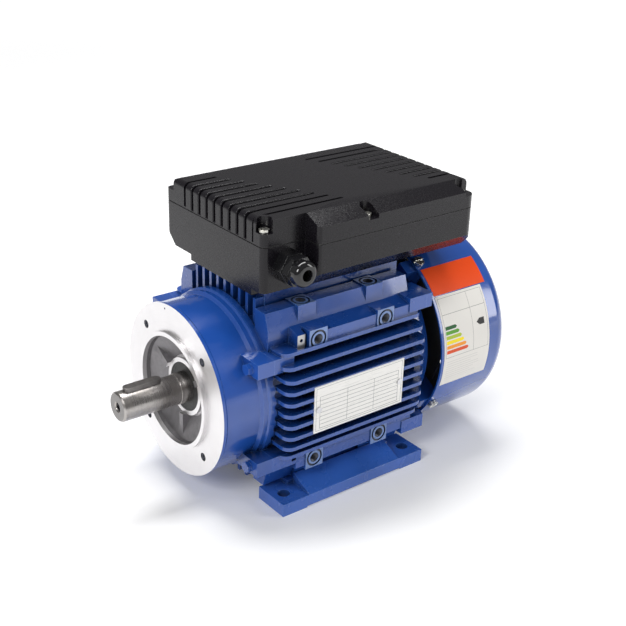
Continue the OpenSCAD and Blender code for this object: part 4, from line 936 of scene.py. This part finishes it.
@dataclass
class Housing:
    """Finned frame casting with its corner rails, pads and feet."""

    ease: float = 0.45 * MM
    pad_half: float = 9.0 * MM
    pad_hole: float = 4.05 * MM
    groove_reach: float = 7.7 * MM
    thread_length: float = 13.0 * MM
    lead_in: float = 0.6 * MM
    deepest: float = 60.0 * MM
    seat_face: float = 72.5 * MM
    seat_low: float = 40.0 * MM

    def build(self) -> None:
        """Ease the castings' edges, paint them and cut the threads of the pads."""
        mount = next(m for m in RECORD["mounts"] if m["name"] == "right_side_pads")
        middle = Vector(mount["pos_m"])
        half_x = mount["dims"]["spacing_x_mm"] / 2 * MM
        offset = mount["dims"]["spacing_y_mm"] / 2 * MM
        columns = [middle.x + half_x, middle.x - half_x]
        self.frame_piece(middle.y, offset, columns)
        for node in ("left_foot", "right_foot"):
            eased(node, 0.7 * MM, [(Finish.FOOT_PAINT, None)], 3)
        dress("foot_screws", Finish.ZINC)
        tapping = Tapping("pad_thread", self.pad_hole, self.thread_length, M8_PITCH, "housing",
                          "cast_aluminium")
        for x in columns:
            for side in (1, -1):
                for z in (offset, -offset):
                    tapping.set_in(Vector((x, side * (middle.y - self.lead_in), z)), Vector((0, side, 0)))
                tapping.set_in(Vector((x, side * offset, middle.y - self.lead_in)), Vector((0, 0, 1)))

    def frame_piece(self, face: float, offset: float, columns: list[float]) -> bpy.types.Object:
        """Paint the frame: a lighter blue on the milled pad faces, partly rubbed paint and partly painted
        reflection, painted shade in their ring grooves, and darkened bare metal as painted shade in their
        holes.

        Args:
            face: Distance of the pad faces from the shaft axis.
            offset: Distance of the pad holes from the shaft axis, up or sideways.
            columns: Place of the pads along the shaft.

        Returns:
            The piece.
        """
        def by_pad(centre: Vector) -> bool:
            """Return whether a face's centre lies in a column of pads."""
            return min(abs(centre.x - x) for x in columns) < self.pad_half

        def is_pad(centre: Vector, normal: Vector) -> bool:
            """Return whether a face is the milled face of a pad, from its centre and normal.

            Args:
                centre: The face's centre.
                normal: Its normal.

            Returns:
                True on a pad's milled face.
            """
            flat_y = abs(normal.y) > 0.99 and abs(abs(centre.y) - face) < 0.1 * MM
            flat_z = abs(normal.z) > 0.99 and abs(abs(centre.z) - face) < 0.1 * MM
            return by_pad(centre) and (flat_y or flat_z)

        def is_seat(centre: Vector, normal: Vector) -> bool:
            """Return whether a face is the bare seat of the earth screw."""
            return normal.y > 0.99 and abs(centre.y - self.seat_face) < 0.1 * MM and centre.z > self.seat_low

        def from_hole(centre: Vector) -> float:
            """Measure how far a face's centre lies from the axis of the nearest pad hole.

            Args:
                centre: The face's centre.

            Returns:
                The distance, or a metre on faces too deep to belong to a pad.
            """
            x = min(abs(centre.x - x) for x in columns)
            side = math.hypot(x, abs(centre.z) - offset) if abs(centre.y) > self.deepest else 1.0
            top = math.hypot(x, abs(centre.y) - offset) if abs(centre.z) > self.deepest else 1.0
            return min(side, top)

        # The groove faces get near-black enamel: painted shade, with some dirt.
        def is_groove(centre: Vector, normal: Vector) -> bool:
            """Return whether a face belongs to the ring groove of a pad."""
            sunk = max(abs(centre.y), abs(centre.z)) < face - 0.2 * MM
            return sunk and self.pad_hole + 0.3 * MM < from_hole(centre) < self.groove_reach

        # Pad holes wear darkened thread metal: painted shade.
        def is_hole(centre: Vector, normal: Vector) -> bool:
            """Return whether a face belongs to the tapped hole of a pad."""
            return from_hole(centre) < self.pad_hole + 0.1 * MM and not is_pad(centre, normal)

        # The pad faces get a lighter blue, partly painted reflection; the grooves and holes get painted
        # shade.
        return eased("frame", self.ease, [(Finish.CASTING_PAINT, None), (Finish.PAD_PAINT, is_pad),
                                          (Finish.BARE_SEAT, is_seat), (Finish.GROOVE_PAINT, is_groove),
                                          (Finish.TAPPED, is_hole)])


@dataclass
class DriveEnd:
    """Drive-end shield with its machined flange, tapped holes and raw recess."""

    ease: float = 0.5 * MM
    recess: float = 44.3 * MM
    hub: float = 23.8 * MM
    hub_depth: float = 13.5 * MM
    thread_length: float = 14.0 * MM
    lead_in: float = 0.7 * MM
    hole_angles: tuple[float, ...] = (45, 135, 225, 315)

    def build(self) -> None:
        """Paint the outside, show the bare metal of the flange, darken the raw recess and the holes' metal as
        painted shade, and cut the threads.
        """
        mount = next(m for m in RECORD["mounts"] if m["name"] == "flange")
        circle = mount["dims"]["pcd_mm"] / 2 * MM
        bore = mount["dims"]["hole_r_mm"] * MM
        turns = [math.radians(angle) for angle in self.hole_angles]
        axes = [(circle * math.cos(turn), circle * math.sin(turn)) for turn in turns]

        def is_turned(centre: Vector, normal: Vector) -> bool:
            """Return whether a face belongs to the turned flange face or the spigot."""
            return centre.x > -0.05 * MM

        def is_raw(centre: Vector, normal: Vector) -> bool:
            """Return whether a face belongs to the raw recess."""
            return centre.x < -0.05 * MM and from_axis(centre) < self.recess

        def is_hub(centre: Vector, normal: Vector) -> bool:
            """Return whether a face belongs to the turned rim of the bearing hub."""
            return from_axis(centre) < self.hub and centre.x > -self.hub_depth

        def is_hole(centre: Vector, normal: Vector) -> bool:
            """Return whether a face belongs to a tapped hole of the flange."""
            away = min(math.hypot(centre.y - y, centre.z - z) for y, z in axes)
            return away < bore + 0.1 * MM and centre.x < -0.05 * MM

        # The recess and the flange holes wear darkened metal: painted shade.
        eased("drive_end_shield", self.ease, [
            (Finish.SHIELD_PAINT, None), (Finish.TURNED_FACE, is_turned), (Finish.RAW_CASTING, is_raw),
            (Finish.TURNED_FACE, is_hub), (Finish.TAPPED, is_hole)], 3)
        eased("drive_end_screws", 0.4 * MM, [(Finish.SHIELD_PAINT, None)])
        tapping = Tapping("flange_thread", bore, self.thread_length, M8_PITCH, "housing", "cast_aluminium")
        for y, z in axes:
            tapping.set_in(Vector((-self.lead_in, y, z)), Vector((1, 0, 0)))


@dataclass
class FanEnd:
    """Rear shield, fan cowl, its labels and screws."""

    def build(self) -> None:
        """Ease and paint the rear shield and the cowl, and print the labels."""
        eased("rear_end_shield", 0.5 * MM, [(Finish.SHIELD_PAINT, None)])
        eased("fan_cowl", 0.35 * MM, [(Finish.COWL_PAINT, None)])
        eased("rear_end_screws", 0.4 * MM, [(Finish.SHIELD_PAINT, None)])
        eased("cowl_screws", 0.3 * MM, [(Finish.ZINC, None)])
        dress("orange_label", Finish.ORANGE)
        low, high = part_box("efficiency_label")
        corners = frame["nodes"]["efficiency_label"].data.vertices
        angles = [math.atan2(corner.co.z, corner.co.y) for corner in corners]
        label = ClassLabelPrint("class_label_print", low, high, max(angles), min(angles))
        dress("efficiency_label", label.build())


@dataclass
class TerminalBox:
    """Black box on top, with its lid, gland and what is inside."""

    groove_pitch: float = 10.3 * MM
    groove_half: float = 1.4 * MM
    groove_run: float = 70.0 * MM
    groove_round: float = 1.0 * MM
    rounded_rows: float = 4.2
    notch_length: float = 38.0 * MM
    notch_round: float = 3.5 * MM

    def build(self) -> None:
        """Ease the mouldings and dress what they hold."""
        low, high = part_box("terminal_box_lid")

        def by_groove(spot: Vector) -> bool:
            """Find the sides of the lid's grooves, apart from the outermost ones.

            Args:
                spot: A point of the lid.

            Returns:
                True on the side of a groove.
            """
            steps = spot.y / self.groove_pitch - 0.5
            aside = abs(steps - round(steps)) * self.groove_pitch
            by_end = min(high.x - spot.x, spot.x - low.x) < self.groove_run
            inside = abs(spot.y) < self.rounded_rows * self.groove_pitch
            return aside < self.groove_half + 0.05 * MM and inside and by_end

        def by_notch(spot: Vector) -> bool:
            """Return whether a point lies on the outward corner beside the gland."""
            off_x, off_y = abs(spot.x - high.x + self.notch_length), high.y - spot.y
            return off_x < self.notch_round and off_y < self.notch_round

        corner = Rounding(by_notch, self.notch_round, 5, held_back=True)
        eased("terminal_box_base", 0.5 * MM, [(Finish.BOX, None)], rounds=[corner])
        eased("terminal_box_lid", 0.75 * MM, [(Finish.BOX, None)], 3,
              rounds=[corner, Rounding(by_groove, self.groove_round, 4, held_back=False)])
        eased("lid_screws", 0.25 * MM, [(Finish.ZINC, None)])
        for node in ("gland_body", "gland_nut", "gland_locknut"):
            eased(node, 0.3 * MM, [(Finish.GLAND, None)])
        for node in ("gland_seal", "lid_gasket", "base_gasket"):
            dress(node, Finish.RUBBER)
        dress("base_screws", Finish.ZINC)
        dress("start_capacitor", Finish.CAN_BLACK)
        dress("run_capacitor", Finish.CAN_WHITE)
        dress("capacitor_straps", Finish.ZINC)
        dress("terminal_board", Finish.TERMINAL)
        for node in ("terminal_studs", "terminal_nuts", "terminal_links", "earth_screw"):
            dress(node, Finish.BRASS)


@dataclass
class Nameplate:
    """Printed plate on the side fins with its rivets."""

    def build(self) -> None:
        """Print the plate with ruled fields and dress the rivets."""
        low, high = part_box("nameplate")
        dress("nameplate", NameplatePrint("nameplate_print", low, high).build())
        dress("nameplate_rivets", Finish.CAST_CAGE)


@dataclass
class RotorSet:
    """Shaft, key, seal, rotor, bearings and fan."""

    thread_length: float = 15.0 * MM
    centre_cone: float = 3.2 * MM

    def build(self) -> None:
        """Ease the shaft end and dress the turning pieces."""
        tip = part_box("shaft")[1].x

        def is_end(centre: Vector, normal: Vector) -> bool:
            """Return whether a face belongs to the faced end of the shaft."""
            return centre.x > tip - 0.1 * MM

        # The end face wears darker steel: painted shade.
        eased("shaft", 0.3 * MM, [(Finish.SHAFT, None), (Finish.SHAFT_END, is_end)])
        eased("shaft_key", 0.35 * MM, [(Finish.KEY, None)])
        eased("fan", 0.5 * MM, [(Finish.FAN, None)])
        centre = next(m for m in RECORD["mounts"] if m["name"] == "shaft_centre_hole")
        tapping = Tapping("centre_thread", centre["dims"]["r_mm"] * MM, self.thread_length, M8_PITCH, "rotor",
                          "turned_steel")
        tapping.set_in(Vector((tip - self.centre_cone, 0, 0)), Vector((1, 0, 0)))
        dress("shaft_seal", Finish.RUBBER)
        dress("fan_circlip", Finish.SPRING)
        dress("preload_washer", Finish.SPRING)
        dress("rotor_core", Finish.CORE)
        dress("rotor_cage", Finish.CAST_CAGE)
        for end in ("front", "rear"):
            for ring in ("outer", "inner", "balls"):
                dress(f"{end}_bearing_{ring}", Finish.GROUND)
            dress(f"{end}_bearing_cage", Finish.BRASS)


@dataclass
class StatorSet:
    """Stator core, its windings and leads."""

    def build(self) -> None:
        """Dress the core, wedges, windings and leads."""
        dress("stator_core", Finish.CORE)
        dress("slot_wedges", Finish.BOARD)
        dress("main_winding", Finish.MAIN_WIRE)
        dress("start_winding", Finish.START_WIRE)
        dress("winding_leads", Finish.SLEEVE)


@dataclass
class StartSwitch:
    """Centrifugal governor and the contact arm that it works."""

    def build(self) -> None:
        """Dress the governor and the switch."""
        dress("governor_hub", Finish.STAMPED)
        dress("governor_collar", Finish.NYLON)
        dress("governor_weight_upper", Finish.STAMPED)
        dress("governor_weight_lower", Finish.STAMPED)
        dress("switch_plate", Finish.LAMINATE)
        dress("switch_arm", Finish.BRONZE)


# ---------------------------------------------------------------- Studio


@dataclass(frozen=True)
class Softbox:
    """One soft lamp, aimed at the motor."""

    name: str
    place: tuple[float, float, float]
    size: tuple[float, float]
    power: float
    aim: tuple[float, float, float] = (-0.11, 0.0, 0.02)

    def build(self) -> None:
        """Hang the lamp and turn it to its aim."""
        lamp = bpy.data.lights.new(self.name, "AREA")
        lamp.shape, lamp.size, lamp.size_y = "RECTANGLE", *self.size
        lamp.energy = self.power
        holder = bpy.data.objects.new(self.name, lamp)
        bpy.context.collection.objects.link(holder)
        holder.location = self.place
        gaze = Vector(self.aim) - Vector(self.place)
        holder.rotation_euler = gaze.to_track_quat("-Z", "Y").to_euler()


@dataclass
class Studio:
    """Pale floor, soft light and the camera."""

    place: tuple[float, float, float] = (0.39666, 0.67000, 0.42097)
    azimuth: float = 141.549
    elevation: float = 24.506
    roll: float = 1.875
    lens: float = 64.70
    floor_half: float = 9.0
    sky: float = 0.22
    lamps: list[Softbox] = field(default_factory=lambda: [
        Softbox("key_lamp", (1.15, 0.55, 0.95), (0.5, 0.5), 12.0),
        Softbox("side_lamp", (-1.05, 0.95, 0.50), (0.30, 1.0), 6.0),
        Softbox("top_lamp", (-0.15, -0.35, 1.3), (1.3, 0.35), 20.0),
    ])

    def build(self) -> None:
        """Lay the floor, hang the lamps and set the camera."""
        self.floor()
        for lamp in self.lamps:
            lamp.build()
        world = bpy.data.worlds.new("studio_air")
        world.use_nodes = True
        tree = world.node_tree
        tree.nodes["Background"].inputs["Color"].default_value = (1.0, 1.0, 1.0, 1.0)
        seen = tree.nodes.new("ShaderNodeLightPath").outputs["Is Camera Ray"]
        level = tree.nodes.new("ShaderNodeMapRange")
        level.inputs["To Min"].default_value, level.inputs["To Max"].default_value = self.sky, 1.0
        tree.links.new(seen, level.inputs["Value"])
        tree.links.new(level.outputs[0], tree.nodes["Background"].inputs["Strength"])
        bpy.context.scene.world = world
        bpy.context.scene.view_settings.view_transform = "Standard"
        self.camera()

    def floor(self) -> None:
        """Lay the floor under the feet."""
        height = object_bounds()[0][2] - 0.02 * MM
        bpy.ops.mesh.primitive_plane_add(size=2 * self.floor_half, location=(0, 0, height))
        sheet = bpy.context.active_object
        sheet.name = "studio_floor"
        sheet.data.materials.append(PaperFloor().build())
        sheet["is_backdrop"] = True

    def camera(self) -> None:
        """Place the camera at its azimuth, elevation and roll."""
        azimuth, elevation, roll = (math.radians(a) for a in (self.azimuth, self.elevation, self.roll))
        flat = math.cos(elevation)
        back = Vector((math.sin(azimuth) * flat, -math.cos(azimuth) * flat, math.sin(elevation)))
        level = (-back).cross(Vector((0, 0, 1))).normalized()
        rise = level.cross(-back)
        right = level * math.cos(roll) + rise * math.sin(roll)
        up = rise * math.cos(roll) - level * math.sin(roll)
        turn = Matrix((right, up, back)).transposed().to_4x4()
        lens = bpy.data.cameras.new("view_camera")
        lens.lens, lens.sensor_width, lens.clip_start = self.lens, 36.0, 0.01
        eye = bpy.data.objects.new("view_camera", lens)
        bpy.context.collection.objects.link(eye)
        eye.matrix_world = Matrix.Translation(self.place) @ turn
        bpy.context.scene.camera = eye


def main() -> None:
    """Build every sub-assembly in order."""
    logging.basicConfig(level=logging.INFO, format="%(message)s")
    for assembly in (Studio(), Housing(), DriveEnd(), FanEnd(), TerminalBox(), Nameplate(), RotorSet(),
                     StatorSet(), StartSwitch()):
        LOG.info("building %s", type(assembly).__name__)
        assembly.build()


if __name__ == "__main__":
    main()
